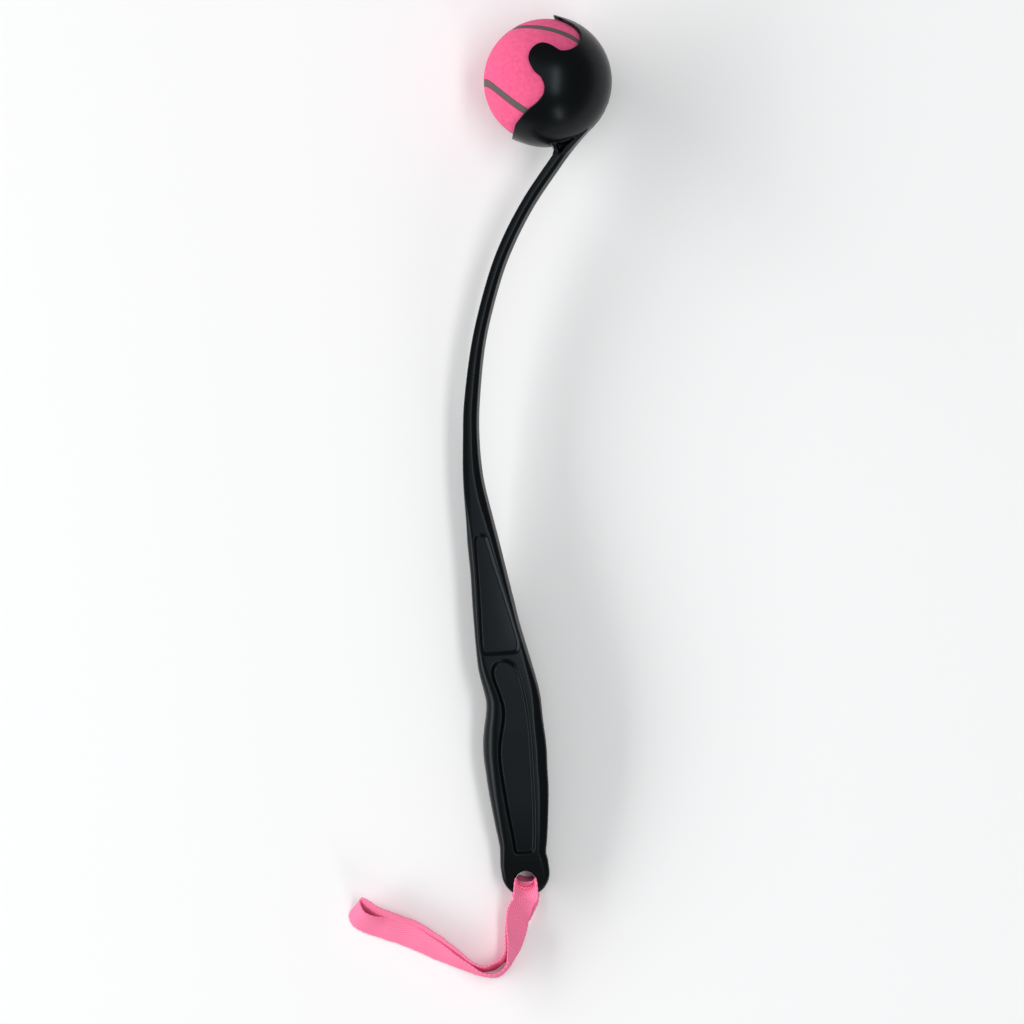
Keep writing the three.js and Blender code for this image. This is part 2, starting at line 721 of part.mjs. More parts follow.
// Where the strap passes over and under the tab: half of its width as a share of its width,
// its place from the middle of the eye as a share of the eye's radius, and its edges' height
// over the tab, or over the floor, as a share of the eye's radius.
const OVER_SHARES = [
  [0.36, -0.18, 0.64],
  [0.42, -0.75, 0.77],
  [0.453, -1.6, 0.76],
];
const UNDER_SHARES = [
  [0.477, -1.6, 0.132],
  [0.467, -0.8, 0.121],
  [0.373, -0.05, 0.161],
];
const EYE_HEIGHT_SHARES = [-0.46, 0, 0.46];

function strapRows() {
  const row = (half, y, z) => [
    new THREE.Vector3(half, y, z).add(EYE_CENTRE),
    new THREE.Vector3(-half, y, z).add(EYE_CENTRE),
  ];
  const lined = STRAP_WIDTH / (2 * EYE_STRAP_RADIUS);
  const under = UNDER_SHARES.map(([half, y, z]) => (
    row(STRAP_WIDTH * half, EYE_RADIUS * y, EYE_RADIUS * z - EYE_CENTRE.z)
  ));
  const inside = EYE_HEIGHT_SHARES.map((z) => (
    row(EYE_STRAP_RADIUS * Math.sin(lined), -EYE_STRAP_RADIUS * Math.cos(lined), TAB_THICKNESS * z)
  ));
  const over = OVER_SHARES.map(([half, y, z]) => (
    row(STRAP_WIDTH * half, EYE_RADIUS * y, TAB_THICKNESS / 2 + EYE_RADIUS * z)
  ));
  const spread = STRAP_WIDTH * ROW_SCALE_SHARE;
  const free = STRAP_SHARES.map(([lx, ly, lz, ux, uy, uz]) => {
    const [x, y] = [(lx + ux) / 2, (ly + uy) / 2];
    const edge = (ex, ey, ez) => new THREE.Vector3(
      EYE_CENTRE.x + x * STRAP_REACH + (ex - x) * spread,
      EYE_CENTRE.y + y * STRAP_REACH + (ey - y) * spread,
      ez * spread,
    );
    return [edge(lx, ly, lz), edge(ux, uy, uz)];
  });
  return [...inside, ...over, ...free, ...under];
}

const STRAP_ROWS = strapRows();
const LOWER_EDGE = new THREE.CatmullRomCurve3(STRAP_ROWS.map(([lower]) => lower), true);
const UPPER_EDGE = new THREE.CatmullRomCurve3(STRAP_ROWS.map(([, upper]) => upper), true);

// Half the angle of the arc that a strip bends to when its edges are closer than its width.
function bendAngle(chord) {
  const share = Math.min(1, chord / STRAP_WIDTH);
  let low = 0;
  let high = Math.PI;
  for (let i = 0; i < 30; i += 1) {
    const middle = (low + high) / 2;
    if (Math.sin(middle) > share * middle) {
      low = middle;
    } else {
      high = middle;
    }
  }
  return low;
}

// A point of the strap: t runs once round the loop, side from one edge at -1 to the other
// at 1, and lift away from its middle layer.
function strapPoint(t, side, lift) {
  const place = ((t % 1) + 1) % 1;
  const lower = LOWER_EDGE.getPoint(place);
  const upper = UPPER_EDGE.getPoint(place);
  const travel = LOWER_EDGE.getTangent(place).add(UPPER_EDGE.getTangent(place)).normalize();
  const across = lower.clone().sub(upper);
  const angle = Math.max(bendAngle(across.length()), 0.01);
  across.normalize();
  const bulge = new THREE.Vector3().crossVectors(across, travel).normalize();
  const radius = STRAP_WIDTH / (2 * angle);
  const turn = angle * side;
  const out = (radius - lift) * Math.cos(turn) - radius * Math.cos(angle);
  return lower.add(upper).multiplyScalar(0.5)
    .addScaledVector(across, (radius - lift) * Math.sin(turn))
    .addScaledVector(bulge, out);
}

// The sewn join on the rear leg: the shares of the loop between which the tape lies double,
// with its second layer on the side that the bends swell to.
const JOIN_SHARES = [0.878, 0.915];

function layersDeep(layers) {
  return STRAP_THICKNESS * (1 / 2 - layers);
}

function wristStrap() {
  const count = STRAP_ROWS.length * STRAP_STEPS_PER_ROW;
  const rings = [];
  for (let i = 0; i < count; i += 1) {
    const t = i / count;
    const doubled = t >= JOIN_SHARES[0] && t <= JOIN_SHARES[1];
    const low = layersDeep(doubled ? 2 : 1);
    const high = STRAP_THICKNESS / 2;
    const sides = Array.from({ length: STRAP_COLUMNS + 1 }, (_, j) => (2 * j) / STRAP_COLUMNS - 1);
    rings.push([
      ...sides.map((side) => strapPoint(t, side, low)),
      ...sides.reverse().map((side) => strapPoint(t, side, high)),
    ]);
  }
  return loft(rings, true);
}

// Stitching of the join: a rectangle of thread that lies on the doubled tape.
const STITCH_STEPS = 6;

function strapStitching() {
  const [from, to] = JOIN_SHARES;
  const length = strapPoint(from, 0, 0).distanceTo(strapPoint(to, 0, 0));
  const low = layersDeep(2) - GAP;
  const corners = (grow) => {
    const inset = (to - from) * ((STITCH_INSET - grow / 2) / length);
    const side = 1 - (2 * STITCH_INSET - grow) / STRAP_WIDTH;
    return [[from + inset, -side], [to - inset, -side], [to - inset, side], [from + inset, side]];
  };
  const outer = corners(THREAD);
  const inner = corners(-THREAD);
  const rings = [];
  outer.forEach((corner, k) => {
    const after = (k + 1) % outer.length;
    for (let i = 0; i < STITCH_STEPS; i += 1) {
      const share = i / STITCH_STEPS;
      const between = (from, to) => from.map((value, n) => value + (to[n] - value) * share);
      const out = between(corner, outer[after]);
      const into = between(inner[k], inner[after]);
      rings.push([
        strapPoint(...out, low),
        strapPoint(...out, low - THREAD / 2),
        strapPoint(...into, low - THREAD / 2),
        strapPoint(...into, low),
      ]);
    }
  });
  return loft(rings, true);
}

function material(colour, roughness, metalness = 0) {
  return new THREE.MeshStandardMaterial({ color: colour, roughness, metalness });
}

function piece(name, geometry, finish) {
  geometry.computeVertexNormals();
  const mesh = new THREE.Mesh(geometry, finish);
  mesh.name = name;
  return mesh;
}

const PLASTIC = () => material(0x16181a, 0.4);
const RUBBER = () => material(0x4a4648, 0.8);
const FELT = () => material(0xff5f97, 0.95);
const WEBBING = () => material(0xff7ba6, 0.9);
const THREAD_COLOUR = () => material(0xff86ae, 0.8);

function ball() {
  const group = new THREE.Group();
  group.add(
    piece('ball_core_upper', coreHalf(1), RUBBER()),
    piece('ball_core_lower', coreHalf(-1), RUBBER()),
    piece('felt_panel_a', feltPanel(1), FELT()),
    piece('felt_panel_b', feltPanel(-1), FELT()),
    piece('ball_seam', seamStrip(), RUBBER()),
  );
  group.rotation.set(...BALL_TURN_DEGREES.map(THREE.MathUtils.degToRad));
  return group;
}

const launcher = new THREE.Group();
const whole = gripAndTab();
launcher.add(
  piece('cup', cup(), PLASTIC()),
  piece('shaft', armStretch(0, SHAFT_END_SHARE), PLASTIC()),
  piece('handle', geometryOf(whole.subtract(tail())), PLASTIC()),
  piece('eye_tab', geometryOf(whole.intersect(tail())), PLASTIC()),
  ball(),
);
launcher.rotation.x = TIP;
launcher.position.z = CUP_OUTER;

const thrower = new THREE.Group();
thrower.add(
  launcher,
  piece('wrist_strap', wristStrap(), WEBBING()),
  piece('strap_stitching', strapStitching(), THREAD_COLOUR()),
);

// The origin is the middle of the bottom of the whole thrower's box.
const box = new THREE.Box3().setFromObject(thrower, true);
const middle = box.getCenter(new THREE.Vector3());
thrower.position.set(-middle.x, -middle.y, -box.min.z);

export default thrower;
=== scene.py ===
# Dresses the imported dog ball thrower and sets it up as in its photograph. Metres throughout.
# The launcher and its ball are drawn in the launcher's own plan, with the middle of the cup at
# zero, the arm running down and z out of its side, and are then tipped on to the floor.
import json
import math

import bpy
import numpy as np
from mathutils import Matrix, Vector


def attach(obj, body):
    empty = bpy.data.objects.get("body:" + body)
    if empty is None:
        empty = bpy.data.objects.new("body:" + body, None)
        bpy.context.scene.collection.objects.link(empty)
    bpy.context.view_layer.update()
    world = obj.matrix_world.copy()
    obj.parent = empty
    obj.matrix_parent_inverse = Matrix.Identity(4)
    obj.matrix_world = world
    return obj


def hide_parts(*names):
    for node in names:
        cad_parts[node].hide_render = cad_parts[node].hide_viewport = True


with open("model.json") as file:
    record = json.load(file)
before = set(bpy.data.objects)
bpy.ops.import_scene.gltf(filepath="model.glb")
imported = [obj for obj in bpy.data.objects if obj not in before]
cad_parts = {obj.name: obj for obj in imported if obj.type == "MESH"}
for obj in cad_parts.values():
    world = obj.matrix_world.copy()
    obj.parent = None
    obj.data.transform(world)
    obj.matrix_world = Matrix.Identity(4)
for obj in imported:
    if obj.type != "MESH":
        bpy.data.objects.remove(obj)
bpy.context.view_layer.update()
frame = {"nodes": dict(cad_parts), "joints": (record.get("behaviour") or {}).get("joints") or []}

# Ball
BALL_RADIUS = 0.0325
FELT_THICKNESS = 0.002
FELT_GAP = 0.0002
SEAM_WIDTH = 0.0044
SEAM_SINK = 0.00015
BALL_TURN_DEGREES = (97, 62, 32)

# Cup
BALL_CLEARANCE = 0.0005
CUP_WALL = 0.0014
RIM_WALL = 0.0011
CUP_INNER = BALL_RADIUS + BALL_CLEARANCE
CUP_OUTER = CUP_INNER + CUP_WALL
MOUTH_DEGREES = 161.5
CUP_POLE_DEGREES = 18

# Meshes: welding distances, the angles in degrees over which an edge stays sharp, and the
# tube of the rings that are bent to the seam filler and the strap
WELD = 1e-6
PANEL_WELD = 1e-5
LAUNCHER_CREASE = 40
SOFT_CREASE = 50
SEAM_CREASE = 60
TUBE_RADIUS = 0.25
MILLIMETRES = 1000

# Arm: the shaft and the handle
ARM_LENGTH = 0.3833
BOW = 0.045
SHAFT_WIDTH = 0.0072
SHAFT_THICKNESS = 0.015
HANDLE_WIDTH = 0.033
GRIP_END_THICKNESS = 0.0226
NECK_THICKNESS = 0.022
GRIP_TAPER = 1.6
SHOULDER_ROUND = 0.0008
TAB_FOOT_ROUND = 0.002
CREST_ROUND = 0.0006
CORNER_ROUND = 0.0009
CROWN_SHIFT_SHARE = 0.35
WALL_LEAN = 3.6
WALL_FOOT_SHARE = 0.2
CHAMFER_LIMIT_SHARE = 0.2
ROUND_LIMIT_SHARE = 0.4
RECESS_DEPTH = 0.0034
UPPER_DEPTH = 0.0014
LOWER_DEPTH = 0.0019

# Tab and eye
TAB_RADIUS = 0.0125
TAB_THICKNESS = 0.012
TAB_EDGE = 0.0028
TAB_END_DEGREES = 88
EYE_RADIUS = 0.0056
EYE_RIM = 0.0022
EYE_EDGE = 0.0009
EYE_SIDES = 96
EYE_STEPS = 30

# Strap
STRAP_WIDTH = 0.015
STRAP_THICKNESS = 0.0011
STRAP_REACH = 0.092
CAD_GAP = 0.0003

# Places along the arm, from the middle of the cup
NECK_ALONG = 1.195 * CUP_OUTER
NECK_ACROSS = 0.175 * CUP_OUTER
TAIL_ALONG = NECK_ALONG + ARM_LENGTH
TAB_ALONG = TAIL_ALONG - TAB_RADIUS
TAB_ACROSS = NECK_ACROSS - 0.369 * BOW
EYE_ALONG = TAIL_ALONG - EYE_RIM - EYE_RADIUS
GRIP_END = NECK_ALONG + 0.93 * ARM_LENGTH
TAPER_START = NECK_ALONG + 0.86 * ARM_LENGTH
SHOULDER = NECK_ALONG + 0.947 * ARM_LENGTH
TAPER_END = NECK_ALONG + 0.986 * ARM_LENGTH
GRIP_SWELL = NECK_ALONG + 0.775 * ARM_LENGTH
SWELL_START = NECK_ALONG + 0.36 * ARM_LENGTH

# The tip that lets the cup and the grip touch one floor, and the launcher's place, which
# follows from the joint that the strap swings on in the eye
TIP = math.atan2(GRIP_END, GRIP_END_THICKNESS / 2) - math.acos(
    CUP_OUTER / math.hypot(GRIP_END, GRIP_END_THICKNESS / 2)
)
EYE = Vector(next(j for j in frame["joints"] if j["name"] == "strap_swing")["pos_m"])
TIPPED = Matrix.Rotation(TIP, 4, "X")
CUP_CENTRE = EYE - TIPPED @ Vector((TAB_ACROSS, -EYE_ALONG, 0))
CUP_CENTRE.z = CUP_OUTER
LAUNCHER = Matrix.Translation(CUP_CENTRE) @ TIPPED

# Photograph: the size of its pixel on the launcher, and the pixel of the cup's middle
PIXEL = 0.00052083
CUP_PIXEL = (546, 81.3)
PHOTO_SIDE = 1024
CAMERA_AWAY = 4.0
SENSOR = 36


def from_photo(pixels):
    """Points of the launcher's plan, from their pixels in the photograph."""
    x, y = np.array(pixels, float).T
    return np.stack([(x - CUP_PIXEL[0]) * PIXEL, (CUP_PIXEL[1] - y) * PIXEL], 1)


# Camera, square to the launcher's side
def set_camera():
    aim = LAUNCHER @ Vector((*from_photo([(PHOTO_SIDE / 2, PHOTO_SIDE / 2)])[0], 0))
    bpy.ops.object.camera_add()
    camera = bpy.context.object
    camera.name = "camera"
    camera.matrix_world = Matrix.Translation(aim) @ TIPPED @ Matrix.Translation((0, 0, CAMERA_AWAY))
    camera.data.sensor_width = SENSOR
    camera.data.lens = SENSOR * CAMERA_AWAY / (PHOTO_SIDE * PIXEL)
    camera.data.clip_end = 50
    bpy.context.scene.camera = camera
    bpy.context.scene.view_settings.view_transform = "Standard"


# Tools of the maker
def primitive(operator, name, **settings):
    """Adds a primitive with nothing else selected, and names it."""
    bpy.ops.object.select_all(action="DESELECT")
    operator(**settings)
    piece = bpy.context.object
    piece.name = name
    piece.data.name = name
    return piece


def corners(piece):
    """The places of a piece's vertices, one row each."""
    places = np.empty(len(piece.data.vertices) * 3)
    piece.data.vertices.foreach_get("co", places)
    return places.reshape(-1, 3)


def place(piece, places, frame_matrix=None):
    """Sends a piece's vertices to new places, given in the frame of a matrix."""
    places = np.asarray(places, float)
    if frame_matrix is not None:
        turn = np.array(frame_matrix)
        places = places @ turn[:3, :3].T + turn[:3, 3]
    piece.data.vertices.foreach_set("co", places.ravel())
    piece.data.update()


def edit(piece, *steps):
    """Runs edit-mode steps on the whole of a piece."""
    bpy.ops.object.select_all(action="DESELECT")
    piece.select_set(True)
    bpy.context.view_layer.objects.active = piece
    bpy.ops.object.mode_set(mode="EDIT")
    bpy.ops.mesh.select_all(action="SELECT")
    for step in steps:
        step()
    bpy.ops.object.mode_set(mode="OBJECT")


def merge(distance):
    return lambda: bpy.ops.mesh.remove_doubles(threshold=distance)


def fill_ends():
    bpy.ops.mesh.fill_holes(sides=0)
    bpy.ops.mesh.select_all(action="SELECT")


def outwards():
    bpy.ops.mesh.normals_make_consistent(inside=False)


def finish_with(piece, kind, name, **settings):
    """Adds a modifier and applies it."""
    bpy.context.view_layer.objects.active = piece
    modifier = piece.modifiers.new(name, kind)
    for setting, value in settings.items():
        setattr(modifier, setting, value)
    bpy.ops.object.modifier_apply(modifier=modifier.name)


def combine(piece, other, operation):
    """A boolean with another piece, which is used up."""
    finish_with(piece, "BOOLEAN", operation.lower(), operation=operation, object=other, solver="MANIFOLD")
    bpy.data.objects.remove(other)


def smooth(piece, degrees):
    bpy.ops.object.select_all(action="DESELECT")
    piece.select_set(True)
    bpy.context.view_layer.objects.active = piece
    bpy.ops.object.shade_smooth_by_angle(angle=math.radians(degrees))


def dress(piece, body, slot, finish, *nodes):
    """Gives a piece its finish and its body, and lets it stand for its CAD nodes. Its slot is not used."""
    piece.data.materials.clear()
    piece.data.materials.append(finish)
    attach(piece, body)
    if nodes:
        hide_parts(*nodes)
    return piece


def ease(share):
    """A smooth step from 0 to 1."""
    share = np.clip(share, 0, 1)
    return share**3 * (share * (6 * share - 15) + 10)


def spline(rows, at):
    """A smooth curve through rows, at row numbers that may be broken."""
    rows = np.asarray(rows, float)
    at = np.clip(np.asarray(at, float), 0, len(rows) - 1)
    first = np.minimum(at.astype(int), len(rows) - 2)
    w = (at - first)[:, None]
    p0, p1, p2, p3 = (rows[np.clip(first + k, 0, len(rows) - 1)] for k in (-1, 0, 1, 2))
    v0, v1 = (p2 - p0) / 2, (p3 - p1) / 2
    return (2 * p1 - 2 * p2 + v0 + v1) * w**3 + (3 * p2 - 3 * p1 - 2 * v0 - v1) * w**2 + v0 * w + p1


def loop_spline(points, count):
    """A closed smooth curve through points, as a polygon with count points."""
    points = np.asarray(points, float)
    wrapped = np.concatenate([points[-1:], points, points[:2]])
    return spline(wrapped, 1 + np.arange(count) * (len(points) / count))


def inside_by(points, outline):
    """How far points lie inside a closed outline. It is less than zero outside."""
    start = outline
    span = np.roll(outline, -1, 0) - start
    apart = points[:, None] - start[None]
    share = np.clip((apart * span).sum(2) / (span**2).sum(1), 0, 1)
    distance = np.linalg.norm(apart - share[..., None] * span, axis=2).min(1)
    x, y = points[:, :1], points[:, 1:]
    end = start + span
    crossing = (start[:, 1] > y) != (end[:, 1] > y)
    rise = np.where(span[:, 1] == 0, 1, span[:, 1])
    left = x < start[:, 0] + span[:, 0] * (y - start[:, 1]) / rise
    inside = (crossing & left).sum(1) % 2 == 1
    return np.where(inside, distance, -distance)


# Arm. Each row gives its share of the arm's length, its share of the bow, and how far its
# left and right edges lie from its centre line, as shares of the shaft's or handle's width.
SHAFT_SHARES = [
    (0, 0, 0.5, 0.47),
    (0.055, 0.319, 0.49, 0.48),
    (0.109, 0.561, 0.5, 0.49),
    (0.163, 0.735, 0.5, 0.49),
    (0.244, 0.904, 0.52, 0.49),
    (0.326, 0.987, 0.58, 0.56),
    (0.38, 1, 0.6, 0.62),
    (0.434, 0.97, 0.77, 0.73),
]
HANDLE_SHARES = [
    (0.488, 0.902, 0.216, 0.216),
    (0.517, 0.86, 0.254, 0.246),
    (0.558, 0.802, 0.285, 0.285),
    (0.597, 0.747, 0.331, 0.322),
    (0.637, 0.691, 0.371, 0.362),
    (0.678, 0.632, 0.406, 0.424),
    (0.697, 0.608, 0.398, 0.457),
    (0.715, 0.586, 0.372, 0.486),
    (0.733, 0.564, 0.359, 0.502),
    (0.749, 0.547, 0.389, 0.502),
    (0.764, 0.531, 0.434, 0.498),
    (0.783, 0.513, 0.478, 0.504),
    (0.804, 0.494, 0.498, 0.505),
    (0.827, 0.474, 0.49, 0.488),
    (0.858, 0.449, 0.469, 0.473),
    (0.897, 0.418, 0.423, 0.423),
    (0.924, 0.398, 0.385, 0.38),
    (0.934, 0.396, 0.372, 0.362),
    (0.9446, 0.395, 0.368, 0.365),
    (0.9541, 0.386, 0.38, 0.379),
    (0.968, 0.369, 0.379, 0.379),
]

# Neck: rows of a left and a right point, as shares of the cup's radius, from inside the cup
NECK_SHARES = [
    (0.06, -0.85, 0.74, -0.62),
    (0.06, -0.934, 0.666, -0.738),
    (0.114, -1.025, 0.515, -0.912),
    (0.099, -1.1, 0.394, -1.063),
]
NECK_THICK_SHARES = [1, 1, 0.66, 0.42, 0]

# Outlines of what is sunk into the launcher's two sides, in pixels of the photograph
UPPER_POCKET_PIXELS = [
    (474.9, 544), (475.6, 538.8), (478.2, 535.7), (482.4, 535.1), (485.4, 537), (487.4, 541),
    (494.6, 564.4), (506.6, 601.6), (517, 636), (518.4, 643), (518.2, 648.2), (516, 651.2),
    (511.6, 652.2), (488, 653.8), (484, 652.8), (481.8, 649), (481, 640), (479, 604), (476.6, 568),
]
LOWER_POCKET_PIXELS = [
    (499.5, 661.4), (504.5, 660.2), (509.6, 661.6), (514.2, 665.2), (517.6, 670.2), (519.8, 676.2),
    (523.6, 692), (526.9, 710), (529.7, 733), (532, 769), (533.5, 797), (534.4, 825), (533.9, 845),
    (533, 849.8), (529.5, 851.6), (519, 852.4), (515.8, 851), (514.4, 846), (513.2, 838), (507, 807),
    (500.6, 768), (499.4, 748), (501.2, 732), (503.2, 718), (502.8, 706), (498.6, 692), (494, 680),
    (492.4, 671.6), (494.6, 665),
]
RECESS_PIXELS = [
    (556.8, 144.9), (561.4, 144.1), (566.8, 142.6), (573.6, 139.2), (569, 143.4), (565, 147.6),
    (561.4, 152.4), (559.4, 153), (558, 150.2),
]
UPPER_WALL_ROWS = (546, 640)
LOWER_WALL_ROWS = (686, 840)
OUTLINE_STEPS = 12
POCKET_RIM = 0.0011
POCKET_WALL = 0.0012
RECESS_RIM = 0.0003
RECESS_WALL = 0.0006

# Sections of the arm by the photograph's pixel rows: the left crest's share of the width and the
# slope outside it, the same for the right crest, the left edge's rounding and the right edge's
# chamfer in millimetres, and how much the face's slope grows over its width
SECTION_PIXELS = [
    (129, 0.2, 0, 0.8, 0.5, 0.8, 1, 0),
    (136, 0.2, 0, 0.74, 0.5, 0.8, 1.2, 0),
    (145, 0.2, 0, 0.6, 0.5, 0.8, 1.5, 0),
    (152, 0.2, 0, 0.49, 0.5, 0.8, 1.7, 0),
    (160, 0.2, 0, 0.47, 0.5, 0.7, 1.8, 0),
    (200, 0.2, 0.3, 0.46, 0.5, 0.6, 1.7, 0),
    (230, 0.23, 0.3, 0.48, 0.5, 0.5, 1.5, 0),
    (300, 0.29, 0.3, 0.47, 0.5, 0.5, 1.2, 0),
    (400, 0.3, 0.3, 0.5, 0.5, 0.5, 1.1, 0),
    (470, 0.3, 0.3, 0.54, 0.5, 0.5, 1.2, 0),
    (500, 0.26, 0.2, 0.6, 0.5, 0.9, 1.2, 0.04),
    (540, 0.13, 0, 0.77, 0.5, 4.4, 1.3, 0.14),
    (600, 0.1, 0, 0.87, 0.5, 3.8, 1.4, 0.2),
    (640, 0.1, 0, 0.9, 0.5, 3.4, 1.4, 0.18),
    (660, 0.1, 0, 0.885, 0.5, 4.6, 1.3, 0.1),
    (700, 0.1, 0, 0.855, 0.5, 7.2, 0.7, 0.02),
    (740, 0.1, 0, 0.847, 0.5, 8.6, 0.3, 0),
    (800, 0.1, 0, 0.845, 0.5, 6.4, 0.2, 0),
    (845, 0.1, 0, 0.84, 0.5, 4.4, 0.2, 0),
    (862, 0.1, 0, 0.86, 0.5, 3.2, 0.2, 0),
    (880, 0.1, 0, 0.9, 0.3, 2.8, 0.1, 0),
]
SECTION_BLEND = 9

# Columns across the arm's face: where its bands end as shares of the width on the shaft, how far
# a band over a pocket's wall reaches to both sides of it, and how many columns a band has. Then
# the columns of the side walls.
SHAFT_BAND_SHARES = (0, 0.18, 0.4, 0.44, 0.62, 1)
WALL_BAND = 0.0012
BAND_COLUMNS = (17, 14, 26, 14, 22)
LEFT_WALL_COLUMNS = 3
RIGHT_WALL_COLUMNS = 6

# Rows along the arm: stretches in metres from the cup's middle with the distance of their rows
ROW_STRETCHES = [
    (0.024, 0.046, 0.0006),
    (0.046, 0.2342, 0.0026),
    (0.2342, 0.2426, 0.00035),
    (0.2426, 0.2925, 0.0016),
    (0.2925, 0.3165, 0.00035),
    (0.3165, 0.396, 0.0016),
    (0.396, 0.4066, 0.00035),
    (0.4066, 0.4119, 0.0008),
]
END_ROWS = 22
ARM_SAMPLES = 4000
HANDLE_BANDS_ROW = 6.5
HANDLE_BANDS_ROWS = 2.5


def arm_edges(row):
    """The left and right points of the arm at row numbers: below 0 they lie in the neck."""
    shares = [(a, b, l * SHAFT_WIDTH, r * SHAFT_WIDTH) for a, b, l, r in SHAFT_SHARES]
    shares += [(a, b, l * HANDLE_WIDTH, r * HANDLE_WIDTH) for a, b, l, r in HANDLE_SHARES]
    rows = np.array(shares)
    centre = np.stack([NECK_ACROSS - BOW * rows[:, 1], -(NECK_ALONG + ARM_LENGTH * rows[:, 0])], 1)

    def on_arm(at):
        at = np.minimum(at, len(rows) - 1)
        step = 0.01
        middle = spline(centre, at)
        way = spline(centre, at + step) - spline(centre, at - step)
        way /= np.linalg.norm(way, axis=1)[:, None]
        across = np.stack([-way[:, 1], way[:, 0]], 1)
        edges = spline(rows[:, 2:], at)
        return middle - across * edges[:, :1], middle + across * edges[:, 1:]

    # Past the last row the edges follow the tab's round end
    turn = np.clip(row - (len(rows) - 1), 0, 1) * math.radians(TAB_END_DEGREES)
    round_end = turn[:, None] > 0
    tab = np.array([TAB_ACROSS, -TAB_ALONG])

    neck = np.array(NECK_SHARES) * CUP_OUTER
    first = [np.array(side) for side in on_arm(np.array([0.0, 1.0]))]
    left, right = on_arm(np.maximum(row, 0))
    for side, arm, points in ((0, left, first[0]), (1, right, first[1])):
        through = np.concatenate([neck[:, 2 * side:2 * side + 2], points])
        in_neck = row < 0
        arm[in_neck] = spline(through, row[in_neck] + len(neck))
        out = TAB_RADIUS * np.stack([np.cos(turn) * (2 * side - 1), -np.sin(turn)], 1)
        arm[:] = np.where(round_end, tab + out, arm)
    return left, right


def floor_half(along):
    return CUP_OUTER / math.cos(TIP) - along * math.tan(TIP)


def half_thickness(along):
    """Half of the arm's thickness: the shaft swells to the grip, which lies on the floor, thins
    gently to its shoulder and then falls to the tab."""
    def on_grip(place):
        return floor_half(place) - GRIP_TAPER * np.maximum(0, place - TAPER_START) ** 2

    swell = ease((along - SWELL_START) / (GRIP_SWELL - SWELL_START))
    shaft = SHAFT_THICKNESS / 2 + (floor_half(GRIP_SWELL) - SHAFT_THICKNESS / 2) * swell
    steep = (on_grip(SHOULDER) - TAB_THICKNESS / 2) / (TAPER_END - SHOULDER)
    fall = hinge(along - SHOULDER, SHOULDER_ROUND) - hinge(along - TAPER_END, TAB_FOOT_ROUND)
    return np.where(along < GRIP_SWELL, shaft, on_grip(np.minimum(along, SHOULDER)) - steep * fall)


def pocket(points, pixels, depth, rim, wall):
    """How deep a pocket is under points of the plan."""
    inside = inside_by(points, loop_spline(from_photo(pixels), OUTLINE_STEPS * len(pixels)))
    share = np.clip((inside + rim) / (rim + wall), 0, 1)
    return depth * share * share * (3 - 2 * share)


def wall_places(left, right, width):
    """How far across each row the two walls of the pockets lie."""
    way = (right - left) / width[:, None]
    found = np.full((len(left), 2), np.nan)
    for pixels, (first, last) in (
        (UPPER_POCKET_PIXELS, UPPER_WALL_ROWS), (LOWER_POCKET_PIXELS, LOWER_WALL_ROWS),
    ):
        outline = loop_spline(from_photo(pixels), OUTLINE_STEPS * len(pixels))
        apart = outline[None] - left[:, None]
        aside = apart[..., 0] * way[:, None, 1] - apart[..., 1] * way[:, None, 0]
        over = (apart * way[:, None]).sum(2)
        crossed = (aside > 0) != (np.roll(aside, -1, 1) > 0)
        pixel_row = CUP_PIXEL[1] - (left[:, 1] + right[:, 1]) / 2 / PIXEL
        for i in np.nonzero((pixel_row > first) & (pixel_row < last))[0]:
            found[i] = over[i, crossed[i]].min() / width[i], over[i, crossed[i]].max() / width[i]
    known = ~np.isnan(found[:, 0])
    at = np.arange(len(left))
    return np.stack([np.interp(at, at[known], found[known, k]) for k in (0, 1)], 1) * width[:, None]


def section_values(pixel_row):
    """The numbers of the arm's section at pixel rows, blended along the arm."""
    keys = np.array(SECTION_PIXELS, float)
    fine = np.arange(keys[0, 0], keys[-1, 0] + 1)
    window = np.hanning(2 * SECTION_BLEND + 1)
    values = []
    for line in keys[:, 1:].T:
        even = np.pad(np.interp(fine, keys[:, 0], line), SECTION_BLEND, mode="edge")
        values.append(np.interp(pixel_row, fine, np.convolve(even, window / window.sum(), "valid")))
    return [value[:, None] for value in values]


def hinge(x, rounding):
    """A line that is flat below zero and climbs above it, with a rounded bend."""
    return (x + np.sqrt(x * x + rounding * rounding)) / 2


def edge_drop(distance, radius):
    """How far a rounded edge lies below its face at a distance from the side."""
    inner = np.clip(1 - distance / radius, 0, 1)
    return radius * (1 - np.sqrt(1 - inner**2))


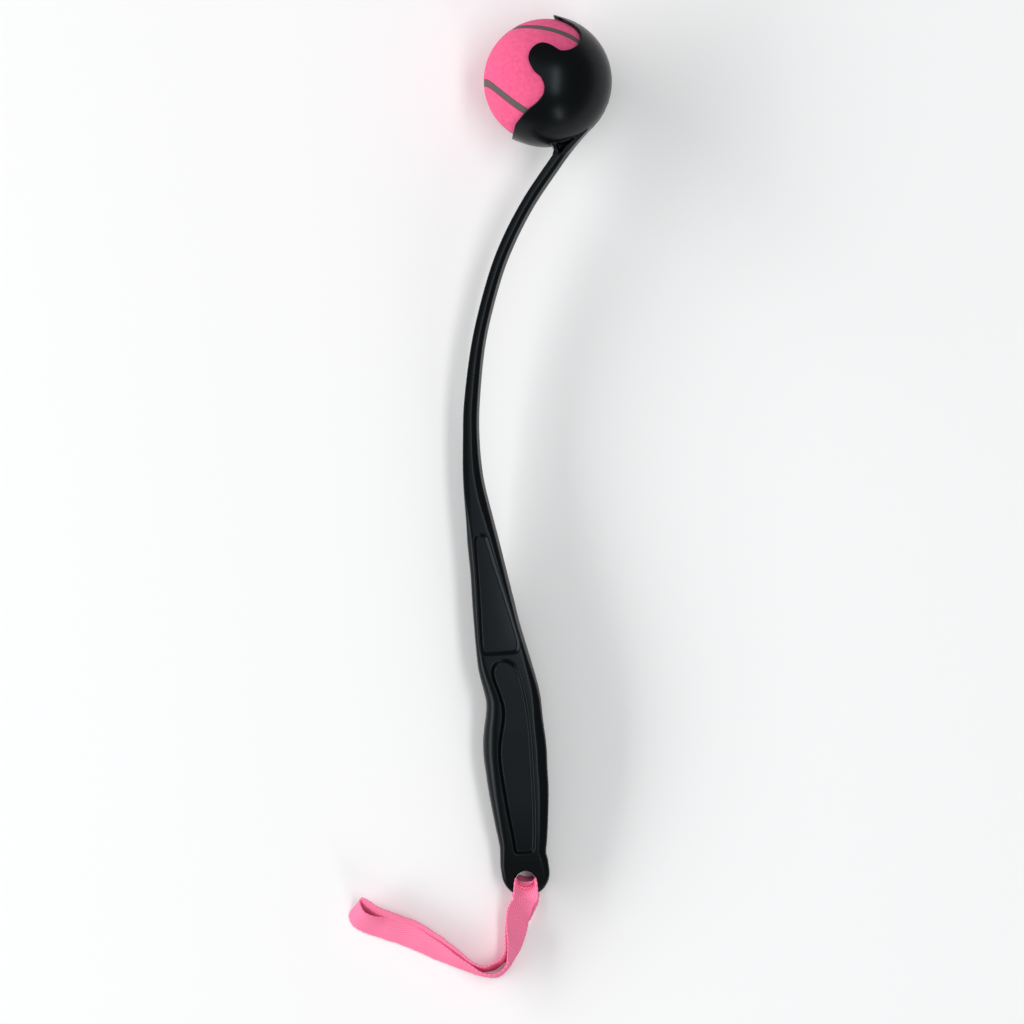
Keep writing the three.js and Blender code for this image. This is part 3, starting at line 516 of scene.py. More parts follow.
def make_arm():
    """One side of the arm is a grid that is bent to its bowed, swelling form, and is then
    mirrored. No operator draws such a form, so its vertices are placed by its sections."""
    last = len(SHAFT_SHARES) + len(HANDLE_SHARES)
    fine = np.linspace(-len(NECK_SHARES), last, ARM_SAMPLES)
    left, right = arm_edges(fine)
    along = -(left[:, 1] + right[:, 1]) / 2
    wanted = np.concatenate([np.arange(a, b - step / 2, step) for a, b, step in ROW_STRETCHES])
    row = np.interp(wanted, along, fine)
    row = np.concatenate([row, last - 1 + np.linspace(0, 1, END_ROWS)])
    left, right = arm_edges(row)
    width = np.linalg.norm(right - left, axis=1)
    pixel_row = CUP_PIXEL[1] - (left[:, 1] + right[:, 1]) / 2 / PIXEL
    left_crest, left_slope, right_crest, right_slope, rounding, chamfer, crown = (
        section_values(pixel_row)
    )
    wide = width[:, None]
    chamfer = np.minimum(chamfer / MILLIMETRES, CHAMFER_LIMIT_SHARE * wide)
    rounding = np.minimum(rounding / MILLIMETRES, ROUND_LIMIT_SHARE * wide)

    # Columns of the face: on the handle they follow the pockets' walls
    walls = wall_places(left, right, width)
    zero = np.zeros(len(row))
    handle = np.stack([
        zero, walls[:, 0] - WALL_BAND, walls[:, 0] + WALL_BAND, walls[:, 1] - WALL_BAND,
        walls[:, 1] + WALL_BAND, width,
    ], 1) / wide
    shaft = np.array(SHAFT_BAND_SHARES)[None]
    bands = shaft + (handle - shaft) * ease((row - HANDLE_BANDS_ROW) / HANDLE_BANDS_ROWS)[:, None]
    at = np.concatenate([[0], np.cumsum(BAND_COLUMNS)])
    columns = np.arange(at[-1] + 1)
    u = np.array([np.interp(columns, at, line) for line in bands]) * (wide - chamfer)

    plan = left[:, None] + (right - left)[:, None] * (u / wide)[..., None]
    y = plan[..., 1]
    neck = np.interp(row, np.arange(len(NECK_THICK_SHARES)) - len(NECK_SHARES), NECK_THICK_SHARES)
    thick = SHAFT_THICKNESS + (NECK_THICKNESS - SHAFT_THICKNESS) * ease(neck)
    half = np.where(row[:, None] < 0, thick[:, None] / 2, half_thickness(-y))
    z = half - left_slope * hinge(left_crest * wide - u, CREST_ROUND)
    z = z - right_slope * hinge(u - right_crest * wide, CREST_ROUND)
    z = z - crown * (u * u / (2 * wide) - CROWN_SHIFT_SHARE * u)
    z = z - edge_drop(u, rounding) - edge_drop(wide - chamfer - u, CORNER_ROUND)
    from_tab = np.hypot(plan[..., 0] - TAB_ACROSS, y + TAB_ALONG)
    at_end = y < -TAB_ALONG
    end_drop = edge_drop(TAB_RADIUS - from_tab, TAB_EDGE)
    z = np.where(at_end, np.minimum(z, half - end_drop), z)

    flat = plan.reshape(-1, 2)
    sunk = np.zeros(len(flat))
    for pixels, depth, rim, wall in (
        (UPPER_POCKET_PIXELS, UPPER_DEPTH, POCKET_RIM, POCKET_WALL),
        (LOWER_POCKET_PIXELS, LOWER_DEPTH, POCKET_RIM, POCKET_WALL),
        (RECESS_PIXELS, RECESS_DEPTH, RECESS_RIM, RECESS_WALL),
    ):
        low, high = from_photo(pixels).min(0) - 2 * rim, from_photo(pixels).max(0) + 2 * rim
        near = ((flat > low) & (flat < high)).all(1)
        sunk[near] += pocket(flat[near], pixels, depth, rim, wall)
    z = z - sunk.reshape(z.shape)

    # The side walls: the left one is upright, the right one leans in above its middle
    up = np.linspace(0, 1, LEFT_WALL_COLUMNS + 1)[:-1]
    first = np.stack([np.zeros((len(row), len(up))), up[None] * z[:, :1]], 2)
    foot = np.maximum(z[:, -1:] - WALL_LEAN * chamfer, WALL_FOOT_SHARE * z[:, -1:])
    down = np.linspace(0, 1, RIGHT_WALL_COLUMNS // 2 + 1)[1:]
    lean = np.stack([wide - chamfer + chamfer * down, z[:, -1:] + (foot - z[:, -1:]) * down], 2)
    rest = np.stack([np.broadcast_to(wide, lean.shape[:2]), foot * (1 - down)], 2)
    section = np.concatenate([first, np.stack([u, z], 2), lean, rest], 1)
    plan = left[:, None] + (right - left)[:, None] * (section[..., :1] / wide[..., None])
    count = section.shape[1]

    arm = primitive(
        bpy.ops.mesh.primitive_grid_add, "launcher", x_subdivisions=count - 1,
        y_subdivisions=len(row) - 1, size=1,
    )
    own = corners(arm)
    i = np.rint((own[:, 1] + 0.5) * (len(row) - 1)).astype(int)
    j = np.rint((own[:, 0] + 0.5) * (count - 1)).astype(int)
    place(arm, np.stack([plan[i, j, 0], plan[i, j, 1], section[i, j, 1]], 1))
    finish_with(arm, "MIRROR", "other side", use_axis=(False, False, True), merge_threshold=WELD)
    edit(arm, merge(WELD), fill_ends, outwards)
    return arm


# Eye of the tab
def make_eye_cutter():
    """A spool: a rod that widens where it leaves the tab's two faces, so that the eye's edges
    come out rounded."""
    rod = primitive(
        bpy.ops.mesh.primitive_grid_add, "eye_cutter", x_subdivisions=EYE_SIDES, y_subdivisions=EYE_STEPS,
        size=1,
    )
    own = corners(rod)
    turn = 2 * math.pi * own[:, 0]
    half = half_thickness(EYE_ALONG - EYE_RADIUS * np.sin(turn))
    height = own[:, 1] * (2 * half + EYE_EDGE)
    past = np.clip((np.abs(height) - (half - EYE_EDGE)) / EYE_EDGE, 0, 1)
    radius = EYE_RADIUS + EYE_EDGE * (1 - np.sqrt(1 - past**2))
    place(rod, np.stack([
        TAB_ACROSS + radius * np.cos(turn), -EYE_ALONG + radius * np.sin(turn), height,
    ], 1))
    edit(rod, merge(WELD), fill_ends, outwards)
    return rod


# Cup. The rim in side view: shares of the cup's radius towards the mouth and across it, from
# the top lip over the lobe to the bottom lip.
RIM_SHARES = [
    (0.216, 1), (0.165, 0.974), (0.033, 0.963), (-0.158, 0.916), (-0.256, 0.845),
    (-0.298, 0.763), (-0.289, 0.647), (-0.205, 0.539), (-0.097, 0.478), (0.005, 0.472),
    (0.088, 0.502), (0.216, 0.506), (0.31, 0.446), (0.367, 0.332), (0.361, 0.205),
    (0.292, 0.108), (0.184, 0.023), (0.093, -0.011), (0.021, -0.082), (-0.023, -0.164),
    (-0.027, -0.274), (0.025, -0.405), (0.122, -0.548), (0.193, -0.717), (0.227, -0.808),
    (0.227, -0.893), (0.218, -1),
]
RIM_SAMPLES = 1200
CUP_SEGMENTS = 240
TRIM_SEGMENTS = 96
WALL_RINGS = 26
RIM_RINGS = 8
RING_EASE = 0.9
MOUTH = math.radians(MOUTH_DEGREES)
CUP_AXES = np.array([
    (math.cos(MOUTH), math.sin(MOUTH), 0),
    (math.sin(MOUTH), -math.cos(MOUTH), 0),
    (0, 0, 1),
])


def rim_directions(turn):
    """The directions of the rim from the ball's middle, once round for turns from 0 to 1."""
    m, n = spline(RIM_SHARES, np.linspace(0, len(RIM_SHARES) - 1, RIM_SAMPLES)).T
    behind = np.minimum(0, m)
    side = np.sqrt(np.maximum(0, 1 - behind**2 - n**2))
    half = np.stack([m, n, side], 1)
    half /= np.linalg.norm(half, axis=1)[:, None]
    run = np.concatenate([[0], np.cumsum(np.linalg.norm(np.diff(half, axis=0), axis=1))])
    run /= run[-1]
    there = 1 - np.abs(1 - 2 * turn)
    found = np.stack([np.interp(there, run, half[:, k]) for k in range(3)], 1)
    found[:, 2] *= np.where(turn <= 0.5, 1, -1)
    return found / np.linalg.norm(found, axis=1)[:, None]


def make_cup():
    """A ball that is pushed in on itself: its one half becomes the outer wall, its other half
    the inner wall, and the rings between them the rounded rim."""
    rings = 2 * WALL_RINGS + RIM_RINGS
    cup = primitive(
        bpy.ops.mesh.primitive_uv_sphere_add, "cup", segments=CUP_SEGMENTS, ring_count=rings, radius=1,
    )
    own = corners(cup)
    ring = np.rint(np.arccos(np.clip(own[:, 2], -1, 1)) / math.pi * rings)
    turn = (np.arctan2(own[:, 1], own[:, 0]) / (2 * math.pi)) % 1
    turn = (np.rint(turn * CUP_SEGMENTS) % CUP_SEGMENTS) / CUP_SEGMENTS
    edge = rim_directions(turn)
    lean = math.radians(CUP_POLE_DEGREES)
    pole = np.array([-math.cos(lean), -math.sin(lean), 0])
    angle = np.arccos(np.clip(edge @ pole, -1, 1))
    mouth = max(edge[:, 0].max(), 1e-6)
    outside = ring <= WALL_RINGS
    inside = ring >= WALL_RINGS + RIM_RINGS
    rim_turn = np.clip((ring - WALL_RINGS) / RIM_RINGS, 0, 1) * math.pi
    end = 1 - (RIM_WALL / 2) / (CUP_OUTER * angle)
    share = np.where(outside, ring / WALL_RINGS, (rings - ring) / WALL_RINGS)
    share = np.clip(share, 0, 1)
    share = np.sin(share * math.pi / 2) ** RING_EASE * end
    share = share + np.sin(rim_turn) * (1 - end)
    a, b = angle * (1 - share), angle * share
    way = pole[None] * np.sin(a)[:, None] + edge * np.sin(b)[:, None]
    way /= np.linalg.norm(way, axis=1)[:, None]
    ahead = np.maximum(0, way[:, 0])
    wall = CUP_WALL + (RIM_WALL - CUP_WALL) * ease(ahead / mouth)
    depth = np.where(outside, 1, np.where(inside, 0, (1 + np.cos(rim_turn)) / 2))
    reach = (CUP_INNER + wall * depth) / np.sqrt(1 - ahead**2)
    place(cup, (way * reach[:, None]) @ CUP_AXES)
    edit(cup, outwards)
    return cup


def make_launcher(finish):
    launcher = make_arm()
    trim = primitive(
        bpy.ops.mesh.primitive_uv_sphere_add, "trim", segments=TRIM_SEGMENTS, ring_count=TRIM_SEGMENTS // 2,
        radius=CUP_INNER + RIM_WALL / 2,
    )
    combine(launcher, trim, "DIFFERENCE")
    combine(launcher, make_eye_cutter(), "DIFFERENCE")
    combine(launcher, make_cup(), "UNION")
    place(launcher, corners(launcher), LAUNCHER)
    smooth(launcher, LAUNCHER_CREASE)
    return dress(launcher, "launcher", "launcher_plastic", finish, "cup", "shaft", "handle", "eye_tab")


# Ball. The seam is the curve of a tennis ball's.
SEAM_LOOP_SHARE = 0.75
PANEL_ROWS = 150
PANEL_COLUMNS = 48
SEAM_SAMPLES = 720
SEAM_SEGMENTS = 256
SEAM_SIDES = 24
SEAM_SQUARENESS = 0.3
SEAM_GAPS = 1.5
FELT_EDGE = 0.0005
FELT_ROLL = 0.0003
BALL = LAUNCHER @ Matrix.Rotation(math.radians(BALL_TURN_DEGREES[0]), 4, "X") @ (
    Matrix.Rotation(math.radians(BALL_TURN_DEGREES[1]), 4, "Y")
    @ Matrix.Rotation(math.radians(BALL_TURN_DEGREES[2]), 4, "Z")
)


def seam_points(angle):
    a, b = SEAM_LOOP_SHARE, 1 - SEAM_LOOP_SHARE
    points = np.stack([
        a * np.cos(angle) + b * np.cos(3 * angle),
        a * np.sin(angle) - b * np.sin(3 * angle),
        2 * math.sqrt(a * b) * np.sin(2 * angle),
    ], -1)
    return points / np.linalg.norm(points, axis=-1)[..., None]


def beside_seam(angle, arc):
    """The seam's points pushed along the ball's skin, away from the seam, by arcs in radians."""
    step = math.radians(1)
    here = seam_points(angle)
    way = seam_points(angle + step) - seam_points(angle - step)
    way /= np.linalg.norm(way, axis=-1)[..., None]
    away = np.cross(here, way)
    away /= np.linalg.norm(away, axis=-1)[..., None]
    arc = np.broadcast_to(arc, angle.shape)[..., None]
    return here * np.cos(arc) + away * np.sin(arc)


def make_panel(name, side, finish):
    """A felt panel is a grid that is laid on the ball between two stretches of the seam, with
    its edges rolled down into the seam, and is then given its thickness."""
    panel = primitive(
        bpy.ops.mesh.primitive_grid_add, name, x_subdivisions=PANEL_COLUMNS,
        y_subdivisions=PANEL_ROWS, size=1,
    )
    own = corners(panel)
    start = -math.pi / 4 if side > 0 else math.pi / 4
    eased = (1 - np.cos(math.pi * (own[:, 1] + 0.5))) / 2
    angle = start + math.pi * eased
    arc = side * (SEAM_WIDTH / 2 - FELT_GAP) / BALL_RADIUS
    first, last = beside_seam(angle, arc), beside_seam(2 * start - angle, arc)
    across = (1 - np.cos(math.pi * (own[:, 0] + 0.5))) / 2
    way = first + (last - first) * across[:, None]
    way /= np.linalg.norm(way, axis=1)[:, None]
    from_seam = np.minimum(
        np.linalg.norm(way - first, axis=1), np.linalg.norm(way - last, axis=1)
    ) * BALL_RADIUS
    seam = seam_points(np.linspace(0, 2 * math.pi, SEAM_SAMPLES, endpoint=False))
    nearest = np.linalg.norm(way[:, None] - seam[None], axis=2).min(1) * BALL_RADIUS
    from_seam = np.clip(nearest - abs(arc) * BALL_RADIUS, 0, from_seam)
    rolled = np.clip(1 - from_seam / FELT_EDGE, 0, 1)
    radius = BALL_RADIUS - FELT_ROLL * (1 - np.sqrt(1 - rolled**2))
    place(panel, way * radius[:, None], BALL)
    edit(panel, merge(PANEL_WELD), outwards)
    middle = np.array(LAUNCHER.translation)
    mesh = panel.data
    if sum((np.array(p.center) - middle) @ np.array(p.normal) for p in mesh.polygons) < 0:
        edit(panel, lambda: bpy.ops.mesh.flip_normals())
    outer = corners(panel)
    finish_with(panel, "SOLIDIFY", "thickness", thickness=FELT_THICKNESS - FELT_GAP, offset=-1)
    inner = (outer - middle) / np.linalg.norm(outer - middle, axis=1)[:, None]
    inner = middle + inner * (BALL_RADIUS - FELT_THICKNESS + FELT_GAP)
    place(panel, np.concatenate([outer, inner]))
    smooth(panel, SOFT_CREASE)
    node = "felt_panel_a" if side > 0 else "felt_panel_b"
    return dress(panel, "ball", "ball_felt", finish, node)


def make_seam(finish):
    """The seam filler is a ring that is bent along the seam and flattened into its groove."""
    seam = primitive(
        bpy.ops.mesh.primitive_torus_add, "seam_filler", major_segments=SEAM_SEGMENTS,
        minor_segments=SEAM_SIDES, major_radius=1, minor_radius=TUBE_RADIUS,
    )
    own = corners(seam)
    angle = np.arctan2(own[:, 1], own[:, 0])
    turn = np.arctan2(own[:, 2], np.hypot(own[:, 0], own[:, 1]) - 1)
    over, up = (np.sign(k) * np.abs(k) ** SEAM_SQUARENESS for k in (np.cos(turn), np.sin(turn)))
    arc = (SEAM_WIDTH / 2 - SEAM_GAPS * FELT_GAP) / BALL_RADIUS * over
    depth = FELT_THICKNESS - SEAM_SINK - FELT_GAP
    top = BALL_RADIUS - SEAM_SINK
    radius = top - depth / 2 + depth / 2 * up
    place(seam, beside_seam(angle, arc) * radius[:, None], BALL)
    edit(seam, outwards)
    smooth(seam, SEAM_CREASE)
    return dress(seam, "ball", "seam_rubber", finish, "ball_seam")


# Strap: rows of its two edges seen from above, from the middle of the eye, each with its
# height over the floor, as shares of the strap's reach. They run from the front leg over the
# bight and back to the rear leg, and the first edge of a row is the one nearer the floor.
STRAP_SHARES = [
    (0.046, -0.147, 0.163, -0.099, -0.147, 0.201),
    (0.025, -0.21, 0.103, -0.11, -0.21, 0.179),
    (0.011, -0.272, 0.06, -0.11, -0.272, 0.166),
    (-0.005, -0.32, 0.033, -0.105, -0.32, 0.161),
    (-0.027, -0.376, 0.015, -0.102, -0.376, 0.161),
    (-0.051, -0.418, 0.009, -0.103, -0.414, 0.163),
    (-0.096, -0.49, 0.009, -0.102, -0.475, 0.168),
    (-0.157, -0.54, 0.009, -0.16, -0.525, 0.17),
    (-0.247, -0.535, 0.009, -0.244, -0.522, 0.17),
    (-0.343, -0.504, 0.009, -0.324, -0.467, 0.165),
    (-0.428, -0.473, 0.009, -0.389, -0.422, 0.158),
    (-0.541, -0.43, 0.009, -0.485, -0.346, 0.136),
    (-0.683, -0.368, 0.009, -0.626, -0.252, 0.111),
    (-0.813, -0.325, 0.009, -0.762, -0.208, 0.11),
    (-0.915, -0.291, 0.009, -0.859, -0.199, 0.129),
    (-0.977, -0.254, 0.009, -0.915, -0.17, 0.133),
    (-1, -0.204, 0.009, -0.938, -0.113, 0.129),
    (-0.985, -0.165, 0.009, -0.924, -0.095, 0.143),
    (-0.95, -0.168, 0.009, -0.89, -0.108, 0.147),
    (-0.885, -0.21, 0.009, -0.832, -0.145, 0.147),
    (-0.785, -0.268, 0.009, -0.735, -0.181, 0.135),
    (-0.66, -0.328, 0.009, -0.599, -0.233, 0.125),
    (-0.517, -0.394, 0.009, -0.46, -0.325, 0.142),
    (-0.407, -0.435, 0.009, -0.366, -0.401, 0.158),
    (-0.324, -0.47, 0.009, -0.301, -0.458, 0.168),
    (-0.243, -0.502, 0.009, -0.236, -0.48, 0.168),
    (-0.178, -0.5, 0.009, -0.18, -0.462, 0.168),
    (-0.128, -0.455, 0.009, -0.14, -0.435, 0.168),
    (-0.076, -0.398, 0.007, -0.12, -0.391, 0.162),
    (-0.028, -0.311, 0.007, -0.118, -0.309, 0.143),
    (0.016, -0.22, 0.009, -0.115, -0.217, 0.098),
    (0.057, -0.141, 0.007, -0.093, -0.141, 0.043),
]

# Where the strap passes over and under the tab: half of its width as a share of its width,
# its place from the middle of the eye as a share of the eye's radius, and its edges' height
# over the tab, or over the floor, as a share of the eye's radius. Inside the eye a row is its
# height as a share of the tab's thickness and the places of its left and right edges as shares
# of the eye's radius, and the curls say how much of a strip's round bend its rows keep.
OVER_SHARES = [(0.35, 0.3, 0.58), (0.42, -0.78, 0.77), (0.453, -1.6, 0.76)]
UNDER_SHARES = [(0.477, -1.6, 0.132), (0.467, -0.8, 0.121), (0.373, -0.05, 0.161)]
EYE_SHARES = [(-0.46, 0.66, 0.59, 0.7, 0.43), (0, 0.8, 0.4, 0.8, 0.36)]
EYE_CURLS = (0.15, 0.7)
EYE_TOP_SHARE = 0.46
EYE_STRAP_RADIUS = EYE_RADIUS - CAD_GAP - (STRAP_THICKNESS + TAB_THICKNESS * math.sin(TIP)) / 2
JOIN_SHARES = (0.878, 0.915)
STRAP_SEGMENTS = 256
STRAP_PLACES = 720
STRAP_SIDES = 64
HALVINGS = 30
LEAST_BEND = 0.01
LEVEL = 1e-4
FLAT_REACH = 1.06
FLAT_SPREAD = 0.8
SCALLOP = 0.0027
SCALLOP_DEPTH = 0.00022
SCALLOP_POWER = 6
TWILL_PITCH = 0.0024
TWILL_SLANT = 1.7


def strap_rows():
    """The lower and upper edge points of the strap's rows, once round the loop."""
    def pair(half, y, z):
        return [(half, y, z), (-half, y, z)]

    lined = STRAP_WIDTH / (2 * EYE_STRAP_RADIUS)
    bent = (EYE_STRAP_RADIUS * math.sin(lined), -EYE_STRAP_RADIUS * math.cos(lined))
    rows = []
    for z, left, left_y, right, right_y in EYE_SHARES:
        z = TAB_THICKNESS * z
        rows.append([
            (EYE_RADIUS * right, EYE_RADIUS * right_y, z), (-EYE_RADIUS * left, EYE_RADIUS * left_y, z),
        ])
    rows.append(pair(*bent, TAB_THICKNESS * EYE_TOP_SHARE))
    for half, y, z in OVER_SHARES:
        rows.append(pair(STRAP_WIDTH * half, EYE_RADIUS * y, TAB_THICKNESS / 2 + EYE_RADIUS * z))
    for row in STRAP_SHARES:
        lx, ly, lz, ux, uy, uz = (share * STRAP_REACH for share in row)
        rows.append([(lx, ly, lz - EYE.z), (ux, uy, uz - EYE.z)])
    for half, y, z in UNDER_SHARES:
        rows.append(pair(STRAP_WIDTH * half, EYE_RADIUS * y, EYE_RADIUS * z - EYE.z))
    return np.array(rows) + np.array(EYE)


def loop_curve(points, at):
    """A closed centripetal curve through points, at shares of the loop."""
    count = len(points)
    row = (at % 1) * count
    first = np.floor(row).astype(int)
    w = (row - first)[:, None]
    p0, p1, p2, p3 = (points[(first + k) % count] for k in (-1, 0, 1, 2))
    d0, d1, d2 = (
        np.sqrt(np.linalg.norm(b - a, axis=1))[:, None] for a, b in ((p0, p1), (p1, p2), (p2, p3))
    )
    t1 = ((p1 - p0) / d0 - (p2 - p0) / (d0 + d1) + (p2 - p1) / d1) * d1
    t2 = ((p2 - p1) / d1 - (p3 - p1) / (d1 + d2) + (p3 - p2) / d2) * d1
    return p1 + t1 * w + (3 * (p2 - p1) - 2 * t1 - t2) * w**2 + (2 * (p1 - p2) + t1 + t2) * w**3


def bend_angle(chord):
    """Half the angle of the arc that a strip bends to when its edges are closer than its width."""
    share = np.minimum(1, chord / STRAP_WIDTH)
    low, high = np.zeros_like(share), np.full_like(share, math.pi)
    for _ in range(HALVINGS):
        middle = (low + high) / 2
        flatter = np.sin(middle) > share * middle
        low, high = np.where(flatter, middle, low), np.where(flatter, high, middle)
    return np.maximum(low, LEAST_BEND)


def strap_points(at, side, lift):
    """Points of the strap: side runs across it from -1 to 1, and lift off its middle layer."""
    rows = strap_rows()
    step = 0.0001
    lower, upper = loop_curve(rows[:, 0], at), loop_curve(rows[:, 1], at)
    way = sum(loop_curve(rows[:, k], at + step) - loop_curve(rows[:, k], at - step) for k in (0, 1))
    way /= np.linalg.norm(way, axis=1)[:, None]
    across = lower - upper
    chord = np.linalg.norm(across, axis=1)
    across /= chord[:, None]
    bulge = np.cross(across, way)
    bulge /= np.linalg.norm(bulge, axis=1)[:, None]
    angle = bend_angle(chord)
    radius = STRAP_WIDTH / (2 * angle)
    curls = np.ones(len(rows))
    curls[:len(EYE_CURLS)] = EYE_CURLS
    count = len(rows)
    curl = np.interp(at * count, np.arange(count + 1), np.append(curls, curls[0]))
    out = (radius - lift) * np.cos(angle * side) - radius * np.cos(angle)
    over = (radius - lift) * np.sin(angle * side)
    out = curl * out - (1 - curl) * lift
    over = curl * over + (1 - curl) * chord / 2 * side
    return (lower + upper) / 2 + across * over[:, None] + bulge * out[:, None]


def make_strap(finish):
    """The strap is a ring that is flattened to a woven tape and bent along its route. Its weave
    follows a UV map in metres: u along the tape and v across it."""
    strap = primitive(
        bpy.ops.mesh.primitive_torus_add, "strap", major_segments=STRAP_SEGMENTS,
        minor_segments=STRAP_SIDES, major_radius=1, minor_radius=TUBE_RADIUS,
    )
    own = corners(strap)
    at = (np.arctan2(own[:, 1], own[:, 0]) / (2 * math.pi)) % 1
    at = (np.rint(at * STRAP_PLACES) % STRAP_PLACES) / STRAP_PLACES
    turn = np.arctan2(own[:, 2], np.hypot(own[:, 0], own[:, 1]) - 1)

    dense = np.arange(STRAP_PLACES) / STRAP_PLACES
    middle = strap_points(dense, np.zeros(STRAP_PLACES), np.zeros(STRAP_PLACES))
    steps = np.linalg.norm(np.roll(middle, -1, 0) - middle, axis=1)
    run = np.concatenate([[0], np.cumsum(steps)])
    length = run[-1]
    along = run[np.rint(at * STRAP_PLACES).astype(int)]

    # A flat oval section: straight over most of the width, round at its two selvedges
    side = np.clip(np.cos(turn) * FLAT_REACH, -1, 1)
    side = np.sign(side) * np.abs(side) ** FLAT_SPREAD
    full = np.sqrt(1 - np.clip((np.abs(side) * STRAP_WIDTH / 2 - STRAP_WIDTH / 2 + STRAP_THICKNESS / 2)
                               / (STRAP_THICKNESS / 2), 0, 1) ** 2)
    lift = np.sign(np.sin(turn)) * full * STRAP_THICKNESS / 2
    lift = np.where(np.abs(np.sin(turn)) < LEVEL, 0, lift)
    doubled = (at >= JOIN_SHARES[0]) & (at <= JOIN_SHARES[1]) & (np.sin(turn) < -LEVEL)
    lift = np.where(doubled, lift - STRAP_THICKNESS, lift)
    wave = np.cos(along / length * round(length / SCALLOP) * 2 * math.pi)
    edge = side * (1 - 2 * SCALLOP_DEPTH / STRAP_WIDTH * (1 - wave) * np.abs(side) ** SCALLOP_POWER)
    place(strap, strap_points(at, edge, lift))

    v = side * STRAP_WIDTH / 2
    mesh = strap.data
    uv = mesh.uv_layers.active or mesh.uv_layers.new(name="UVMap")
    loop_vertex = np.empty(len(mesh.loops), int)
    mesh.loops.foreach_get("vertex_index", loop_vertex)
    u = along[loop_vertex].reshape(-1, 4)
    u = np.where(u.max(1)[:, None] - u > length / 2, u + length, u)
    uv.data.foreach_set("uv", np.stack([u.ravel(), v[loop_vertex]], 1).ravel())
    edit(strap, outwards)
    smooth(strap, SOFT_CREASE)
    dress(strap, "strap", "strap_tape", finish, "wrist_strap")
    return strap


def node(tree, kind, inputs=None, **settings):
    """Adds a shader node, sets its values, and links the inputs that are outputs of others."""
    found = tree.nodes.new(kind)
    for name, value in settings.items():
        setattr(found, name, value)
    for key, value in (inputs or {}).items():
        if isinstance(value, bpy.types.NodeSocket):
            tree.links.new(value, found.inputs[key])
        else:
            found.inputs[key].default_value = value
    return found


def new_material(name, **values):
    """A material with its main shader's plain values set, its tree and its shader."""
    made = bpy.data.materials.new(name)
    made.use_nodes = True
    shader = made.node_tree.nodes["Principled BSDF"]
    for socket, value in values.items():
        shader.inputs[socket.replace("_", " ")].default_value = value
    return made, made.node_tree, shader


def plastic_material():
    made, tree, shader = new_material("black plastic", Roughness=0.28)
    shader.inputs["Specular IOR Level"].default_value = 0.155
    shader.inputs["Specular Tint"].default_value = (0.78, 0.91, 1, 1)
    where = node(tree, "ShaderNodeTexCoord").outputs["Object"]
    grain = node(tree, "ShaderNodeTexNoise", {"Vector": where, "Scale": 2600, "Detail": 3})
    cloud = node(tree, "ShaderNodeTexNoise", {"Vector": where, "Scale": 60, "Detail": 4})
    colour = node(tree, "ShaderNodeValToRGB", {"Fac": cloud.outputs["Fac"]})
    colour.color_ramp.elements[0].color = (0.001, 0.0013, 0.0014, 1)
    colour.color_ramp.elements[1].color = (0.0017, 0.0021, 0.0023, 1)
    rough = node(tree, "ShaderNodeMapRange", {
        "Value": cloud.outputs["Fac"], "To Min": 0.25, "To Max": 0.31,
    })
    bump = node(tree, "ShaderNodeBump", {
        "Height": grain.outputs["Fac"], "Strength": 0.06, "Distance": 0.00005,
    })
    tree.links.new(colour.outputs["Color"], shader.inputs["Base Color"])
    tree.links.new(rough.outputs["Result"], shader.inputs["Roughness"])
    tree.links.new(bump.outputs["Normal"], shader.inputs["Normal"])
    return made


def felt_material():
    made, tree, shader = new_material("pink felt", Roughness=0.95)
    shader.inputs["Specular IOR Level"].default_value = 0.1
    shader.inputs["Sheen Weight"].default_value = 0.08
    shader.inputs["Sheen Roughness"].default_value = 0.6
    shader.inputs["Sheen Tint"].default_value = (1, 0.55, 0.72, 1)
    where = node(tree, "ShaderNodeTexCoord").outputs["Object"]
    fine = node(tree, "ShaderNodeTexNoise", {"Vector": where, "Scale": 2200, "Detail": 6})
    tuft = node(tree, "ShaderNodeTexNoise", {"Vector": where, "Scale": 420, "Detail": 5})
    both = node(tree, "ShaderNodeMath", {0: fine.outputs["Fac"], 1: tuft.outputs["Fac"]}, operation="ADD")
    colour = node(tree, "ShaderNodeValToRGB", {"Fac": tuft.outputs["Fac"]})
    colour.color_ramp.elements[0].position = 0.3
    colour.color_ramp.elements[0].color = (0.75, 0.092, 0.22, 1)
    colour.color_ramp.elements[1].position = 0.65
    colour.color_ramp.elements[1].color = (0.84, 0.118, 0.262, 1)
    bump = node(tree, "ShaderNodeBump", {
        "Height": both.outputs["Value"], "Strength": 0.5, "Distance": 0.0004,
    })
    tree.links.new(colour.outputs["Color"], shader.inputs["Base Color"])
    tree.links.new(bump.outputs["Normal"], shader.inputs["Normal"])
    return made


def rubber_material(name, dark, pale):
    made, tree, shader = new_material(name, Roughness=0.8)
    shader.inputs["Specular IOR Level"].default_value = 0.25
    where = node(tree, "ShaderNodeTexCoord").outputs["Object"]
    grain = node(tree, "ShaderNodeTexNoise", {"Vector": where, "Scale": 900, "Detail": 5})
    colour = node(tree, "ShaderNodeValToRGB", {"Fac": grain.outputs["Fac"]})
    colour.color_ramp.elements[0].color = (*dark, 1)
    colour.color_ramp.elements[1].color = (*pale, 1)
    bump = node(tree, "ShaderNodeBump", {
        "Height": grain.outputs["Fac"], "Strength": 0.3, "Distance": 0.0002,
    })
    tree.links.new(colour.outputs["Color"], shader.inputs["Base Color"])
    tree.links.new(bump.outputs["Normal"], shader.inputs["Normal"])
    return made


